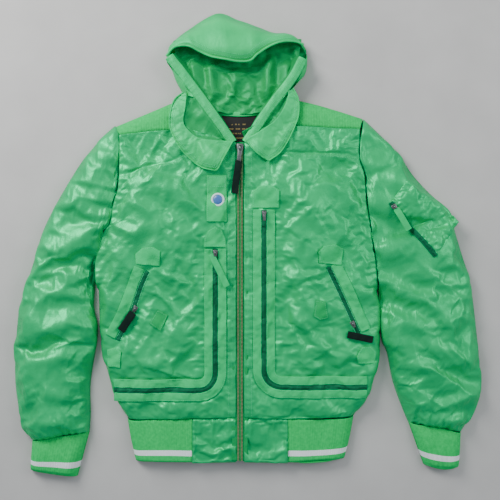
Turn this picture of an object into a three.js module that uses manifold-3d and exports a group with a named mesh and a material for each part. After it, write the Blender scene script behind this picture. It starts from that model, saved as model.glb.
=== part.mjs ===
// Hooded nylon bomber jacket, zipped up and laid flat on its back, in millimetres.
// +X is the wearer's left, +Y runs from the hem to the hood, +Z is up from the surface under the back.
// The origin is on the underside of the back panel, on the line of the front zip.
// Cloth is stood for by flat slabs of one thickness, stacked in layers with the hollows left open.
import * as THREE from "three";
import { mergeVertices } from "three/addons/utils/BufferGeometryUtils.js";
import Module from "manifold-3d";

const wasm = await Module();
wasm.setup();

// ---- driving dimensions ----
const CLOTH = 3; // thickness of a cloth slab
const LINING = 1;
const ROUND_SIDES = 20; // facets of a round fastener
const TRIM = 2; // thickness of patches, tapes and webbing
const GAP = 0.4; // clearance between pieces that are sewn or rest together
const BODY_HOLLOW = 21; // depth of the hollow between back and front
const SLEEVE_HOLLOW = 28;
const HOOD_HOLLOW = 42;

// body panels: half widths and heights along Y
const SHOULDER_HALF = 246;
const SHOULDER_Y = 250;
const CHEST_HALF = 277;
const PIT_Y = -92;
const HIP_HALF = 283;
const HIP_Y = -205;
const POUCH_DROP = 85; // from the hip to the level where the body blouses over the waistband
const POUCH_HALF = 265;
const WAIST_HALF = 229;
const WAIST_Y = -346;
const HEM_HALF = 217;
const HEM_Y = -438;
const NECK_HALF = 113;
const NECK_Y = 292;
const FRONT_NECK_HALF = 16;
const FRONT_NECK_Y = 206;
const KNIT_DROP = 28; // depth of the knit shoulder panel at the shoulder tip
const KNIT_NECK_DROP = 60;
const RIB_START = 95; // half width of the woven middle of the waistband

// front zip
const ZIP_OPENING = 7; // from the centre line to the edge of each front
const TAPE_WIDTH = 16;
const TEETH_WIDTH = 4.6;
const ZIP_BOTTOM_MARGIN = 6;
const SLIDER = { width: 16, length: 24, height: 5 };
const PULL = { width: 9, length: 20 };
const RIBBON = { width: 15, length: 62, lean: -8 };

// collar and neck
const NECK_BAND_OVERLAP = 8; // how far a neck band runs under its collar leaf
const NECK_BAND_INSET = 26; // how far the hood's front hem runs inside the neck point
const NECK_BAND_RISE = 4; // how far a neck band's end leans past the neck point
const LEAF_CLEAR = 2; // from a collar leaf's ends to the ends of the neckline
const HOOD_HINGE_Y = 302;
const NECK_TAPE_Y = 262;
const LINING_SHOULDER_DROP = 30; // from the neck tape down to the lining's shoulder line
const LINING_SIDE_EASE = 26; // how far the lining stays inside the body's pouch at each side
const NECK_TAPE = { half: 38, width: 10 };
const LABEL = { topHalf: 37, bottomHalf: 6, height: 52 };

// chest tab and its snap
const TAB = { side: "right", x: -46, topY: 138, width: 40, length: 92 };
const SNAP = { radius: 14, height: 3, studRadius: 7, y: 90, aside: 2 };

// pockets: a wide L-shaped band with a zip in it, and a slanted hand pocket, on each front
const BAND_WIDTH = 46;
const BAND_CORNER = 20; // inner radius where the band turns
const BAND_END = 256;
const ZIP_RIDGE = 6;
const PANEL_TOP_Y = 20;
const POCKET_SIDES = {
  left: { bandX: 48, bandTop: 70, bandY: -280, pull: null },
  right: { bandX: 51, bandTop: -8, bandY: -288, pull: { width: 16, length: 66, lean: 22 } },
};
const SMALL_SLIDER = { width: 10, length: 13, height: 3.5 };
const SHORT_PULL = { width: 6, length: 12, lean: 0 };
const HAND_ZIP = { width: 9, bandWidth: 22, bandStart: 8 };
const HAND_SIDES = {
  left: { top: [178, -46], bottom: [238, -178], slider: 0.9, ribbon: { width: 15, length: 54, lean: -62 } },
  right: { top: [182, -56], bottom: [244, -190], slider: 0.52, ribbon: { width: 18, length: 40, lean: -38 } },
};
const BAND_CAPS = { pointed: { width: 54, height: 46, aside: 3 }, archHeight: 40 };
const HAND_PATCH = { width: 46, height: 38 };
const POINT_START = 0.55; // the share of a pointed patch's height where its sides turn in
const POINT_WIDTH = 0.3; // the share of its width left at the point
const LOWER_PATCH = { width: 34, height: 36, aside: 4 };

// sleeves: points of the outer edge from the shoulder tip, and of the inner edge from the armhole line
const ARMHOLE_REACH = -184; // the sleeve lies against the body down to here
const SLEEVES = {
  left: {
    outer: [[72, -60], [134, -140], [188, -196], [216, -300], [234, -420], [239, -500], [232, -562]],
    inner: [[7, -216], [17, -278]],
    wrist: [397, -367],
    tilt: 8.5,
    wristWidth: 104,
    cuffWidth: 90,
    cuffLength: 78,
  },
  right: {
    outer: [[38, -34], [106, -128], [158, -230], [198, -360], [211, -450], [211, -540], [196, -614]],
    inner: [[10, -276]],
    wrist: [362, -389],
    tilt: 10,
    wristWidth: 108,
    cuffWidth: 98,
    cuffLength: 72,
  },
};
const SLEEVE_POCKET = { start: [296, 84], angle: -49, zipLength: 140, depth: 58 };
const HOLLOW_PAST = 4; // how far the sleeve's hollow is cut past its open ends
const SLEEVE_PULL = { width: 14, length: 50, lean: 46 };

// hood, lying back beyond the collar
const HOOD_OUTLINE = [
  [-112, HOOD_HINGE_Y + GAP], [-131, 336], [-148, 374], [-141, 408], [-100, 441], [-50, 469],
  [-8, 459], [40, 441], [92, 429], [126, 408], [137, 372], [127, 340], [102, HOOD_HINGE_Y + GAP],
];
const HOOD_MOUTH = [
  [80, HOOD_HINGE_Y + GAP], [107, 345], [112, 386], [72, 398], [20, 364], [-32, 368], [-84, 384],
  [-116, 384], [-118, 350], [-90, HOOD_HINGE_Y + GAP],
];
const LEAF_OUTLINES = {
  left: [[118, 296], [119, 274], [110, 238], [84, 188], [58, 168], [40, 177]],
  right: [[124, 295], [139, 262], [134, 220], [104, 175], [70, 151], [50, 147], [40, 156]],
};

// ---- levels in Z, worked out from the layers ----
const LINING_Z = CLOTH + GAP;
const LABEL_Z = LINING_Z + LINING + GAP;
const FRONT_Z = CLOTH + BODY_HOLLOW;
const FRONT_TOP = FRONT_Z + CLOTH;
const OVER_FRONT = FRONT_TOP + GAP;
const PANEL_TOP = OVER_FRONT + CLOTH;
const OVER_PANEL = PANEL_TOP + GAP;
const LEAF_Z = OVER_PANEL;
const TAPE_Z = FRONT_Z - GAP - TRIM;
const SLEEVE_TOP_Z = CLOTH + SLEEVE_HOLLOW;
const SLEEVE_TOP = SLEEVE_TOP_Z + CLOTH;
const HOOD_TOP_Z = CLOTH + HOOD_HOLLOW;
const ZIP_RIDGE_TOP = OVER_FRONT + 1;
const STUD_TOP = FRONT_TOP + TRIM;

// ---- finishes ----
const finish = (color, roughness, metalness = 0) => ({ color, roughness, metalness });
const NYLON = finish(0x2fc77a, 0.42);
const KNIT = finish(0x08cf6f, 0.9);
const WEBBING = finish(0x0ac873, 0.8);
const LINING_CLOTH = finish(0x1fa860, 0.6);
const TAPE = finish(0x1e7f4d, 0.8);
const BRASS = finish(0x8f9464, 0.45, 0.8);
const STEEL = finish(0x4a5153, 0.4, 0.9);
const BLACK = finish(0x101214, 0.85);
const SNAP_ENAMEL = finish(0xd9efe6, 0.35);

const jacket = new THREE.Group();
const SIDES = [["left", 1], ["right", -1]];

function add(name, geometry, look) {
  const mesh = new THREE.Mesh(geometry, new THREE.MeshStandardMaterial(look));
  mesh.name = name;
  jacket.add(mesh);
}

// ---- outlines ----
const flip = (points, side) => points.map(([x, y]) => [side * x, y]);

// A smooth run through the points, with a few steps between each pair.
function smooth(points, steps = 3) {
  const curve = new THREE.SplineCurve(points.map(([x, y]) => new THREE.Vector2(x, y)));
  return curve.getPoints((points.length - 1) * steps).map((p) => [p.x, p.y]);
}

function shapeOf(points) {
  return new THREE.Shape(points.map(([x, y]) => new THREE.Vector2(x, y)));
}

// A flat slab of the outline from one level up to another.
function slab(points, low, high) {
  const geometry = new THREE.ExtrudeGeometry(shapeOf(points), { depth: high - low, bevelEnabled: false });
  return geometry.translate(0, 0, low);
}

function disc(x, y, radius, low, high) {
  const geometry = new THREE.CylinderGeometry(radius, radius, high - low, ROUND_SIDES);
  return geometry.rotateX(Math.PI / 2).translate(x, y, (low + high) / 2);
}

function toSolid(geometry) {
  const bare = new THREE.BufferGeometry();
  bare.setAttribute("position", geometry.getAttribute("position"));
  if (geometry.index) bare.setIndex(geometry.index);
  const merged = mergeVertices(bare, 1e-4);
  return new wasm.Manifold(
    new wasm.Mesh({
      numProp: 3,
      vertProperties: merged.attributes.position.array,
      triVerts: new Uint32Array(merged.index.array),
    }),
  );
}

function fromSolid(solid) {
  const mesh = solid.getMesh();
  const geometry = new THREE.BufferGeometry();
  geometry.setAttribute("position", new THREE.BufferAttribute(new Float32Array(mesh.vertProperties), 3));
  geometry.setIndex(new THREE.BufferAttribute(new Uint32Array(mesh.triVerts), 1));
  return geometry;
}

const cut = (body, tool) => fromSolid(toSolid(body).subtract(toSolid(tool)));
const join = (...bodies) => fromSolid(bodies.map(toSolid).reduce((a, b) => a.add(b)));

// The point a distance from one point towards another.
function toward([ax, ay], [bx, by], distance) {
  const length = Math.hypot(bx - ax, by - ay);
  return [ax + ((bx - ax) * distance) / length, ay + ((by - ay) * distance) / length];
}

// A strip of the stated width that leaves a point at an angle from -Y, turned towards +X.
function strip([x, y], width, length, lean) {
  const angle = THREE.MathUtils.degToRad(lean);
  const along = [Math.sin(angle), -Math.cos(angle)];
  const across = [Math.cos(angle), Math.sin(angle)];
  const corner = (s, t) => [x + s * across[0] + t * along[0], y + s * across[1] + t * along[1]];
  const half = width / 2;
  return [corner(-half, 0), corner(-half, length), corner(half, length), corner(half, 0)];
}

// The same strip between two points, moved sideways by a distance.
function bar([ax, ay], [bx, by], width, aside = 0) {
  const lean = THREE.MathUtils.radToDeg(Math.atan2(bx - ax, ay - by));
  const angle = THREE.MathUtils.degToRad(lean);
  const start = [ax + aside * Math.cos(angle), ay + aside * Math.sin(angle)];
  return strip(start, width, Math.hypot(bx - ax, by - ay), lean);
}

// ---- body lines ----
// The armhole is a straight line from the shoulder tip through the pit.
const armLine = (y) =>
  SHOULDER_HALF + ((SHOULDER_Y - y) * (CHEST_HALF - SHOULDER_HALF)) / (SHOULDER_Y - PIT_Y);

// The neckline is a straight line from the top of the zip to the neck point, where the collar hinges.
const neckLine = (y) =>
  FRONT_NECK_HALF + ((y - FRONT_NECK_Y) * (NECK_HALF - FRONT_NECK_HALF)) / (NECK_Y - FRONT_NECK_Y);

const pouch = [POUCH_HALF, HIP_Y - POUCH_DROP];
const sideSeam = smooth([
  [armLine(PIT_Y) - GAP, PIT_Y], [HIP_HALF - GAP, HIP_Y], pouch, [WAIST_HALF, WAIST_Y],
]);

const knitArm = SHOULDER_Y - KNIT_DROP;
const knitNeck = NECK_Y - KNIT_NECK_DROP;

function frontPanel() {
  return [
    [ZIP_OPENING, FRONT_NECK_Y], [FRONT_NECK_HALF, FRONT_NECK_Y],
    [neckLine(knitNeck - GAP), knitNeck - GAP], [armLine(knitArm) - GAP, knitArm - GAP],
    ...sideSeam, [ZIP_OPENING, WAIST_Y],
  ];
}

function shoulderKnit() {
  return [
    [neckLine(knitNeck), knitNeck], [armLine(knitArm) - GAP, knitArm],
    [SHOULDER_HALF - GAP, SHOULDER_Y], [NECK_HALF, NECK_Y],
  ];
}

function backPanel() {
  const right = [
    [NECK_HALF - CLOTH, HOOD_HINGE_Y - GAP], [NECK_HALF, NECK_Y],
    [SHOULDER_HALF - GAP, SHOULDER_Y], ...sideSeam,
  ];
  return [...right, ...flip([...right].reverse(), -1)];
}

// The side panel stands between back and front, from the pit down to the hem.
function sidePanel() {
  const edge = [...sideSeam, [HEM_HALF, HEM_Y]];
  const inside = edge.map(([x, y]) => [x - CLOTH, y]).reverse();
  return [...edge, ...inside];
}

function waistRib(start) {
  return [
    [start, WAIST_Y - GAP], [start, HEM_Y], [HEM_HALF, HEM_Y], [WAIST_HALF - GAP, WAIST_Y - GAP],
  ];
}

// The snap's stud is riveted through the front panel under the chest tab.
function snapStud() {
  return disc(TAB.x + SNAP.aside, SNAP.y, SNAP.studRadius, FRONT_TOP - CLOTH / 2, STUD_TOP);
}

function buildBody() {
  add("back_panel", slab(backPanel(), 0, CLOTH), NYLON);
  const back = waistRib(0).slice(2);
  add("waist_rib_back", slab([...back, ...flip([...back].reverse(), -1)].reverse(), 0, CLOTH), KNIT);
  const liningHalf = POUCH_HALF - 2 * CLOTH - LINING_SIDE_EASE;
  const shoulderY = NECK_TAPE_Y - LINING_SHOULDER_DROP;
  const lining = [
    [-liningHalf, shoulderY], [-WAIST_HALF + 2 * CLOTH, WAIST_Y],
    [WAIST_HALF - 2 * CLOTH, WAIST_Y], [liningHalf, shoulderY],
    [NECK_TAPE.half, NECK_TAPE_Y - GAP], [-NECK_TAPE.half, NECK_TAPE_Y - GAP],
  ];
  add("back_lining", slab(lining, LINING_Z, LINING_Z + LINING), LINING_CLOTH);
  const tapeY = NECK_TAPE_Y + NECK_TAPE.width;
  const tape = [
    [-NECK_TAPE.half, NECK_TAPE_Y], [NECK_TAPE.half, NECK_TAPE_Y],
    [NECK_TAPE.half, tapeY], [-NECK_TAPE.half, tapeY],
  ];
  add("neck_tape", slab(tape, LINING_Z, LINING_Z + TRIM), NYLON);
  const labelTop = NECK_TAPE_Y - 2 * GAP;
  const label = [
    [-LABEL.bottomHalf, labelTop - LABEL.height], [LABEL.bottomHalf, labelTop - LABEL.height],
    [LABEL.topHalf, labelTop - LABEL.height / 3], [LABEL.topHalf, labelTop],
    [-LABEL.topHalf, labelTop], [-LABEL.topHalf, labelTop - LABEL.height / 3],
  ];
  add("neck_label", slab(label, LABEL_Z, LABEL_Z + LINING), BLACK);

  for (const [word, side] of SIDES) {
    const front = slab(flip(frontPanel(), side), FRONT_Z, FRONT_TOP);
    add("front_panel_" + word, word === TAB.side ? join(front, snapStud()) : front, NYLON);
    add("shoulder_knit_" + word, slab(flip(shoulderKnit(), side), FRONT_Z, FRONT_TOP), KNIT);
    add("side_panel_" + word, slab(flip(sidePanel(), side), CLOTH + GAP, FRONT_Z - GAP), NYLON);
    const woven = [
      [ZIP_OPENING, WAIST_Y - GAP], [ZIP_OPENING, HEM_Y],
      [RIB_START - GAP, HEM_Y], [RIB_START - GAP, WAIST_Y - GAP],
    ];
    add("waist_front_" + word, slab(flip(woven, side), FRONT_Z, FRONT_TOP), NYLON);
    add("waist_rib_" + word, slab(flip(waistRib(RIB_START), side), FRONT_Z, FRONT_TOP), KNIT);
  }
}

// ---- front zip ----
function buildZip() {
  const top = FRONT_NECK_Y;
  const bottom = HEM_Y + ZIP_BOTTOM_MARGIN;
  for (const [word, side] of SIDES) {
    const tape = [[GAP, bottom], [TAPE_WIDTH, bottom], [TAPE_WIDTH, top], [GAP, top]];
    const teeth = [[GAP, bottom], [TEETH_WIDTH, bottom], [TEETH_WIDTH, top], [GAP, top]];
    const chain = join(
      slab(flip(tape, side), TAPE_Z, TAPE_Z + TRIM),
      slab(flip(teeth, side), TAPE_Z + TRIM / 2, ZIP_RIDGE_TOP),
    );
    add("zip_chain_" + word, chain, BRASS);
  }
  const low = ZIP_RIDGE_TOP + GAP;
  const sliderLow = top - SLIDER.length;
  const body = strip([0, top], SLIDER.width, SLIDER.length, 0);
  add("zip_slider", slab(body, low, low + SLIDER.height), STEEL);
  const pullZ = low + SLIDER.height + GAP;
  const hinge = sliderLow + SLIDER.length / 3;
  add("zip_pull", slab(strip([0, hinge], PULL.width, PULL.length, 0), pullZ, pullZ + TRIM), STEEL);
  const lift = (RIBBON.width / 2) * Math.sin(THREE.MathUtils.degToRad(Math.abs(RIBBON.lean)));
  const ribbonTop = [0, hinge - PULL.length - GAP - lift];
  const ribbon = strip(ribbonTop, RIBBON.width, RIBBON.length, RIBBON.lean);
  add("zip_ribbon", slab(ribbon, pullZ, pullZ + TRIM), BLACK);
}

// ---- collar, neck bands, tab ----
function buildNeck() {
  for (const [word, side] of SIDES) {
    const outer = smooth(LEAF_OUTLINES[word], 2);
    const leaf = [
      [FRONT_NECK_HALF + LEAF_CLEAR, FRONT_NECK_Y - LEAF_CLEAR],
      ...outer.reverse(), [NECK_HALF, NECK_Y + LEAF_CLEAR],
    ];
    add("collar_leaf_" + word, slab(flip(leaf, side), LEAF_Z, LEAF_Z + CLOTH), NYLON);
    const rise = NECK_BAND_RISE;
    const band = [
      [FRONT_NECK_HALF - rise / 2, FRONT_NECK_Y],
      [FRONT_NECK_HALF + NECK_BAND_OVERLAP + rise, FRONT_NECK_Y],
      [NECK_HALF + NECK_BAND_OVERLAP, NECK_Y - rise], [NECK_HALF, NECK_Y + rise],
      [NECK_HALF - NECK_BAND_INSET, NECK_Y + rise],
    ];
    add("neck_band_" + word, slab(flip(band, side), OVER_FRONT, OVER_FRONT + CLOTH), NYLON);
  }
  const tabZ = STUD_TOP + GAP;
  const tab = strip([TAB.x, TAB.topY], TAB.width, TAB.length, 0);
  add("chest_tab", slab(tab, tabZ, tabZ + TRIM), WEBBING);
  const capZ = tabZ + TRIM + GAP;
  add("snap_cap", disc(TAB.x + SNAP.aside, SNAP.y, SNAP.radius, capZ, capZ + SNAP.height), SNAP_ENAMEL);
}

// ---- pockets on the fronts ----
// The L-shaped band: down beside the zip, round a corner, and out towards the side seam.
function bandOutline({ bandX, bandTop, bandY }, inset = 0) {
  const half = BAND_WIDTH / 2 - inset;
  const end = Math.min(inset, ZIP_RIDGE / 2);
  const middle = BAND_WIDTH / 2 + BAND_CORNER;
  const centre = [bandX + middle, bandY + middle];
  const turn = (radius) => {
    const arc = new THREE.EllipseCurve(...centre, radius, radius, Math.PI, 1.5 * Math.PI);
    return arc.getPoints(5).map((p) => [p.x, p.y]);
  };
  return [
    [bandX - half, bandTop - end], ...turn(middle + half), [BAND_END - end, bandY - half],
    [BAND_END - end, bandY + half], ...turn(middle - half).reverse(), [bandX + half, bandTop - end],
  ];
}

function pocketPanel({ bandX, bandY }) {
  const inner = bandX + BAND_WIDTH / 2 + GAP;
  const bottom = bandY + BAND_WIDTH / 2 + GAP;
  const outerTop = armLine(PANEL_TOP_Y) - BAND_CORNER;
  const corner = BAND_CORNER;
  const arc = new THREE.EllipseCurve(inner + corner, bottom + corner, corner, corner, Math.PI, 1.5 * Math.PI);
  const turn = arc.getPoints(4).map((p) => [p.x, p.y]);
  return [
    ...turn, [BAND_END - BAND_CORNER / 2, bottom], [CHEST_HALF - 2 * CLOTH, HIP_Y + BAND_CORNER],
    [outerTop, PANEL_TOP_Y], [inner, PANEL_TOP_Y],
  ];
}

// A small slider with its pull or ribbon, lying on a zip at a point.
function sliderAt(sliderName, pullName, point, lean, low, pull, pullLook) {
  const { width, length, height } = SMALL_SLIDER;
  add(sliderName, slab(strip(point, width, length, lean), low, low + height), STEEL);
  const start = toward(point, strip(point, 0, length, lean)[1], length / 2);
  const pullZ = low + height + GAP;
  add(pullName, slab(strip(start, pull.width, pull.length, pull.lean), pullZ, pullZ + TRIM), pullLook);
}

function arch(x, y, half, height) {
  const curve = new THREE.EllipseCurve(x, y, half, height, 0, Math.PI);
  return curve.getPoints(ROUND_SIDES / 2).map((p) => [p.x, p.y]);
}

// A patch with a blunt point at its top, such as a bar-tack patch.
function pointedPatch([x, y], width, height) {
  const half = width / 2;
  const shoulder = y + height * POINT_START;
  const tip = half * POINT_WIDTH;
  return [
    [x - half, y], [x + half, y], [x + half, shoulder], [x + tip, y + height],
    [x - tip, y + height], [x - half, shoulder],
  ];
}

function buildPockets() {
  const { pointed, archHeight } = BAND_CAPS;
  for (const [word, side] of SIDES) {
    const size = POCKET_SIDES[word];
    add("pocket_panel_" + word, slab(flip(pocketPanel(size), side), OVER_FRONT, PANEL_TOP), NYLON);
    const ridgeInset = BAND_WIDTH / 2 - ZIP_RIDGE / 2;
    const band = join(
      slab(flip(bandOutline(size), side), OVER_FRONT, PANEL_TOP),
      slab(flip(bandOutline(size, ridgeInset), side), PANEL_TOP - TRIM / 2, PANEL_TOP + TRIM / 2),
    );
    add("pocket_band_" + word, band, WEBBING);
    const top = size.bandTop - SMALL_SLIDER.height;
    const pull = size.pull ?? SHORT_PULL;
    sliderAt(
      "pocket_slider_" + word, "pocket_pull_" + word, [side * size.bandX, top], 0,
      PANEL_TOP + TRIM / 2 + GAP, pull, size.pull ? WEBBING : STEEL,
    );
    const cap = word === "left"
      ? pointedPatch([size.bandX + pointed.aside, size.bandTop + GAP], pointed.width, pointed.height)
      : arch(size.bandX, size.bandTop + GAP, BAND_WIDTH / 2, archHeight);
    add("band_patch_" + word, slab(flip(cap, side), OVER_FRONT, OVER_FRONT + TRIM), WEBBING);

    const hand = HAND_SIDES[word];
    const upperEnd = [side * hand.top[0], hand.top[1]];
    const lowerEnd = [side * hand.bottom[0], hand.bottom[1]];
    const aside = side * (HAND_ZIP.width / 2 + HAND_ZIP.bandWidth / 2 + GAP);
    const zip = bar(upperEnd, lowerEnd, HAND_ZIP.width);
    add("hand_zip_" + word, slab(zip, OVER_PANEL, OVER_PANEL + TRIM), BRASS);
    const bandStart = toward(upperEnd, lowerEnd, HAND_ZIP.bandStart);
    const edge = bar(bandStart, lowerEnd, HAND_ZIP.bandWidth, aside);
    add("hand_band_" + word, slab(edge, OVER_PANEL, OVER_PANEL + TRIM), WEBBING);
    const seat = [upperEnd[0], upperEnd[1] + HAND_ZIP.width];
    const upper = pointedPatch(seat, HAND_PATCH.width, HAND_PATCH.height);
    add("hand_patch_" + word, slab(upper, OVER_PANEL, OVER_PANEL + TRIM), WEBBING);
    const foot = [lowerEnd[0] + side * LOWER_PATCH.aside, lowerEnd[1] - HAND_ZIP.width - LOWER_PATCH.height];
    const lower = pointedPatch(foot, LOWER_PATCH.width, LOWER_PATCH.height);
    add("lower_patch_" + word, slab(lower, OVER_PANEL, OVER_PANEL + TRIM), WEBBING);
    const length = Math.hypot(lowerEnd[0] - upperEnd[0], lowerEnd[1] - upperEnd[1]);
    const at = toward(upperEnd, lowerEnd, length * hand.slider);
    const lean = THREE.MathUtils.radToDeg(Math.atan2(lowerEnd[0] - upperEnd[0], upperEnd[1] - lowerEnd[1]));
    sliderAt(
      "hand_slider_" + word, "hand_ribbon_" + word, at, lean,
      OVER_PANEL + TRIM + GAP, hand.ribbon, BLACK,
    );
  }
}

// ---- sleeves ----
// The cuff's four corners, its wrist edge first, from the middle of the wrist and the cuff's tilt.
function cuffCorners(size, side, start, length, inset) {
  const angle = THREE.MathUtils.degToRad(size.tilt);
  const along = [Math.sin(angle), -Math.cos(angle)];
  const across = [Math.cos(angle), Math.sin(angle)];
  const corner = (half, t) => [
    size.wrist[0] + half * across[0] + t * along[0], size.wrist[1] + half * across[1] + t * along[1],
  ];
  const top = size.wristWidth / 2 - inset;
  const bottom = size.cuffWidth / 2 - inset;
  return flip([corner(-top, start), corner(-bottom, length), corner(bottom, length), corner(top, start)], side);
}

// Matching points down the sleeve's outer and inner edges, from the armhole to the wrist.
function sleeveEdges(size) {
  const [innerWrist, , , outerWrist] = cuffCorners(size, 1, 0, size.cuffLength, 0);
  const outer = smooth([
    [SHOULDER_HALF + GAP, SHOULDER_Y],
    ...size.outer.map(([x, y]) => [SHOULDER_HALF + x, SHOULDER_Y + y]), outerWrist,
  ]);
  const lower = [armLine(ARMHOLE_REACH) + GAP, ARMHOLE_REACH];
  const bend = smooth([lower, ...size.inner.map(([x, y]) => [armLine(y) + x, y]), innerWrist]);
  return { outer, inner: [[armLine(PIT_Y) + GAP, PIT_Y], ...bend] };
}

// The hollow's outline: both edges moved in by the cloth, and run past the two open ends.
function hollowOf({ outer, inner }) {
  const past = HOLLOW_PAST;
  const inside = (points, other) => points.map((p, i) => {
    const across = other[Math.round((i * (other.length - 1)) / (points.length - 1))];
    return toward(p, across, CLOTH);
  });
  const rim = inside(outer, inner);
  const bed = inside(inner, outer);
  const wristPush = (p) => [p[0], p[1] - past];
  const left = [outer[0][0] - past, outer[0][1] - past];
  const low = [inner[0][0] - past, inner[0][1] + past];
  return [left, ...rim.slice(1), wristPush(rim.at(-1)), wristPush(bed.at(-1)), ...bed.slice(1).reverse(), low];
}

function buildSleeves() {
  for (const [word, side] of SIDES) {
    const size = SLEEVES[word];
    const edges = sleeveEdges(size);
    const outline = flip([...edges.outer, ...[...edges.inner].reverse()], side);
    const hollow = flip(hollowOf(edges), side);
    const under = cut(slab(outline, 0, SLEEVE_TOP_Z - GAP), slab(hollow, CLOTH, SLEEVE_TOP));
    add("sleeve_under_" + word, under, NYLON);
    add("sleeve_upper_" + word, slab(outline, SLEEVE_TOP_Z, SLEEVE_TOP), NYLON);
    const rim = cuffCorners(size, side, GAP, size.cuffLength, 0);
    const bore = cuffCorners(size, side, -CLOTH, size.cuffLength + CLOTH, CLOTH);
    add("cuff_" + word, cut(slab(rim, 0, SLEEVE_TOP), slab(bore, CLOTH, SLEEVE_TOP_Z)), KNIT);
  }
  const { start, angle, zipLength, depth } = SLEEVE_POCKET;
  const turn = THREE.MathUtils.degToRad(angle);
  const end = [start[0] + zipLength * Math.cos(turn), start[1] + zipLength * Math.sin(turn)];
  const over = SLEEVE_TOP + GAP;
  const zip = bar(start, end, HAND_ZIP.width);
  add("sleeve_zip", slab(zip, over, over + TRIM), BRASS);
  const aside = HAND_ZIP.width / 2 + depth / 2 + GAP;
  add("sleeve_pocket", slab(bar(start, end, depth, aside), over, over + TRIM), NYLON);
  const lean = THREE.MathUtils.radToDeg(Math.atan2(end[0] - start[0], start[1] - end[1]));
  const at = toward(start, end, SMALL_SLIDER.length);
  sliderAt(
    "sleeve_slider", "sleeve_pull", at, lean, over + TRIM + GAP,
    { ...SLEEVE_PULL, lean }, WEBBING,
  );
}

// ---- hood ----
function buildHood() {
  const outer = smooth(HOOD_OUTLINE, 2);
  const middle = [0, HOOD_HINGE_Y + BAND_WIDTH];
  const inside = outer.map((p, i) => {
    const end = i === 0 || i === outer.length - 1;
    return end ? [p[0] - Math.sign(p[0]) * CLOTH, p[1] - CLOTH] : toward(p, middle, CLOTH);
  });
  const tray = cut(slab([...outer].reverse(), 0, HOOD_TOP_Z - GAP), slab([...inside].reverse(), CLOTH, HOOD_TOP_Z));
  add("hood_back", tray, NYLON);
  const front = [...outer, ...smooth(HOOD_MOUTH, 2)].reverse();
  add("hood_front", slab(front, HOOD_TOP_Z, HOOD_TOP_Z + CLOTH), NYLON);
}

buildBody();
buildZip();
buildNeck();
buildPockets();
buildSleeves();
buildHood();

export default jacket;
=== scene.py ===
"""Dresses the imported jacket: crinkled nylon, rib knit, zips, webbing, hood, floor, light and camera.

Lengths in the sizes below are millimetres in the frame's axes, with +X to the wearer's left, +Y to the
hood and +Z up. Meshes are made in metres.
"""

import logging
import math
from dataclasses import dataclass
from enum import Enum
from typing import Callable, Sequence

import bmesh
import bpy
import numpy as np
from mathutils import Matrix, Vector
from mathutils.bvhtree import BVHTree


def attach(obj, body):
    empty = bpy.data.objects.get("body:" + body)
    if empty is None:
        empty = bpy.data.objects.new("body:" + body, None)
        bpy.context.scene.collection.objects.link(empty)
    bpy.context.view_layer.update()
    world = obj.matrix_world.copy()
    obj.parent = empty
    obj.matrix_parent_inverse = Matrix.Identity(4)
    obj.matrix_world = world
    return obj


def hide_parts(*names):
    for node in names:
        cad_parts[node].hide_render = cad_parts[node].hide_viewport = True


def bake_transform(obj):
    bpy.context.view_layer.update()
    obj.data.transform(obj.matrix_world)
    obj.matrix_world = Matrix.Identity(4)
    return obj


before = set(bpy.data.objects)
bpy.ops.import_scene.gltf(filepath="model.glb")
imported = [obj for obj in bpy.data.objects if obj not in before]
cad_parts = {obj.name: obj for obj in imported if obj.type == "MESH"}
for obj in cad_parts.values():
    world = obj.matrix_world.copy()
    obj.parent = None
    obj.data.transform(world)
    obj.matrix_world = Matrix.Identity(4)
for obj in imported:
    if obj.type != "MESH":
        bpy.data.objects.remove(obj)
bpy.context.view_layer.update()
LOG = logging.getLogger("jacket")
MM = 0.001
STAND_INWARD = -16  # how far the left stand reaches in from its fold, in millimetres
LEAST_FLAT = 0.0101  # a tape narrower than this, in metres, goes with its zip
THREAD_LIFT = 0.25  # how far a thread's middle lies over the cloth
SETTLED = 0.5  # a vertex pinned more firmly than this doesn't move
Array = np.ndarray
Points = Sequence[Sequence[float]]
HeightFn = Callable[[Array, Array], Array]
Piece = bpy.types.Object
Finish = bpy.types.Material
Socket = bpy.types.NodeSocket
Triple = tuple[float, float, float]


class Side(Enum):
    """The wearer's left is +X, and the right is -X."""

    LEFT = 1
    RIGHT = -1

    @property
    def word(self) -> str:
        """The side's word in the names of nodes and bodies."""
        return self.name.lower()


# ---------------------------------------------------------------- curves and patches


def smooth_run(points: Points, steps: int = 8) -> Array:
    """A smooth curve through the points.

    Args:
        points: The points that the curve passes through.
        steps: How many steps lie between each pair.

    Returns:
        The curve's points, one row each.
    """
    p = np.array(points, float)
    if len(p) < 3:
        return p
    ends = np.vstack([2 * p[0] - p[1], p, 2 * p[-1] - p[-2]])
    out = []
    for a, b, c, d in zip(ends, ends[1:], ends[2:], ends[3:]):
        for t in np.linspace(0, 1, steps, endpoint=False):
            out.append(0.5 * (2 * b + (c - a) * t + (2 * a - 5 * b + 4 * c - d) * t * t
                              + (3 * b - a - 3 * c + d) * t**3))
    return np.array([*out, p[-1]])


def chain(*runs: Points) -> Array:
    """Joins smooth runs end to end, with a corner kept at each join."""
    parts = [smooth_run(r) for r in runs]
    return np.vstack([parts[0], *[p[1:] for p in parts[1:]]])


def along(line: Array, t: Array) -> Array:
    """Points at the given shares of a line's length."""
    steps = np.hypot(*np.diff(line[:, :2], axis=0).T)
    s = np.concatenate([[0], np.cumsum(steps)]) / max(steps.sum(), 1e-9)
    return np.stack([np.interp(t, s, line[:, k]) for k in range(line.shape[1])], -1)


def flip(points: Points, side: Side) -> Array:
    """The points as they lie on that side of the jacket."""
    return np.array(points, float) * [side.value, 1]


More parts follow.
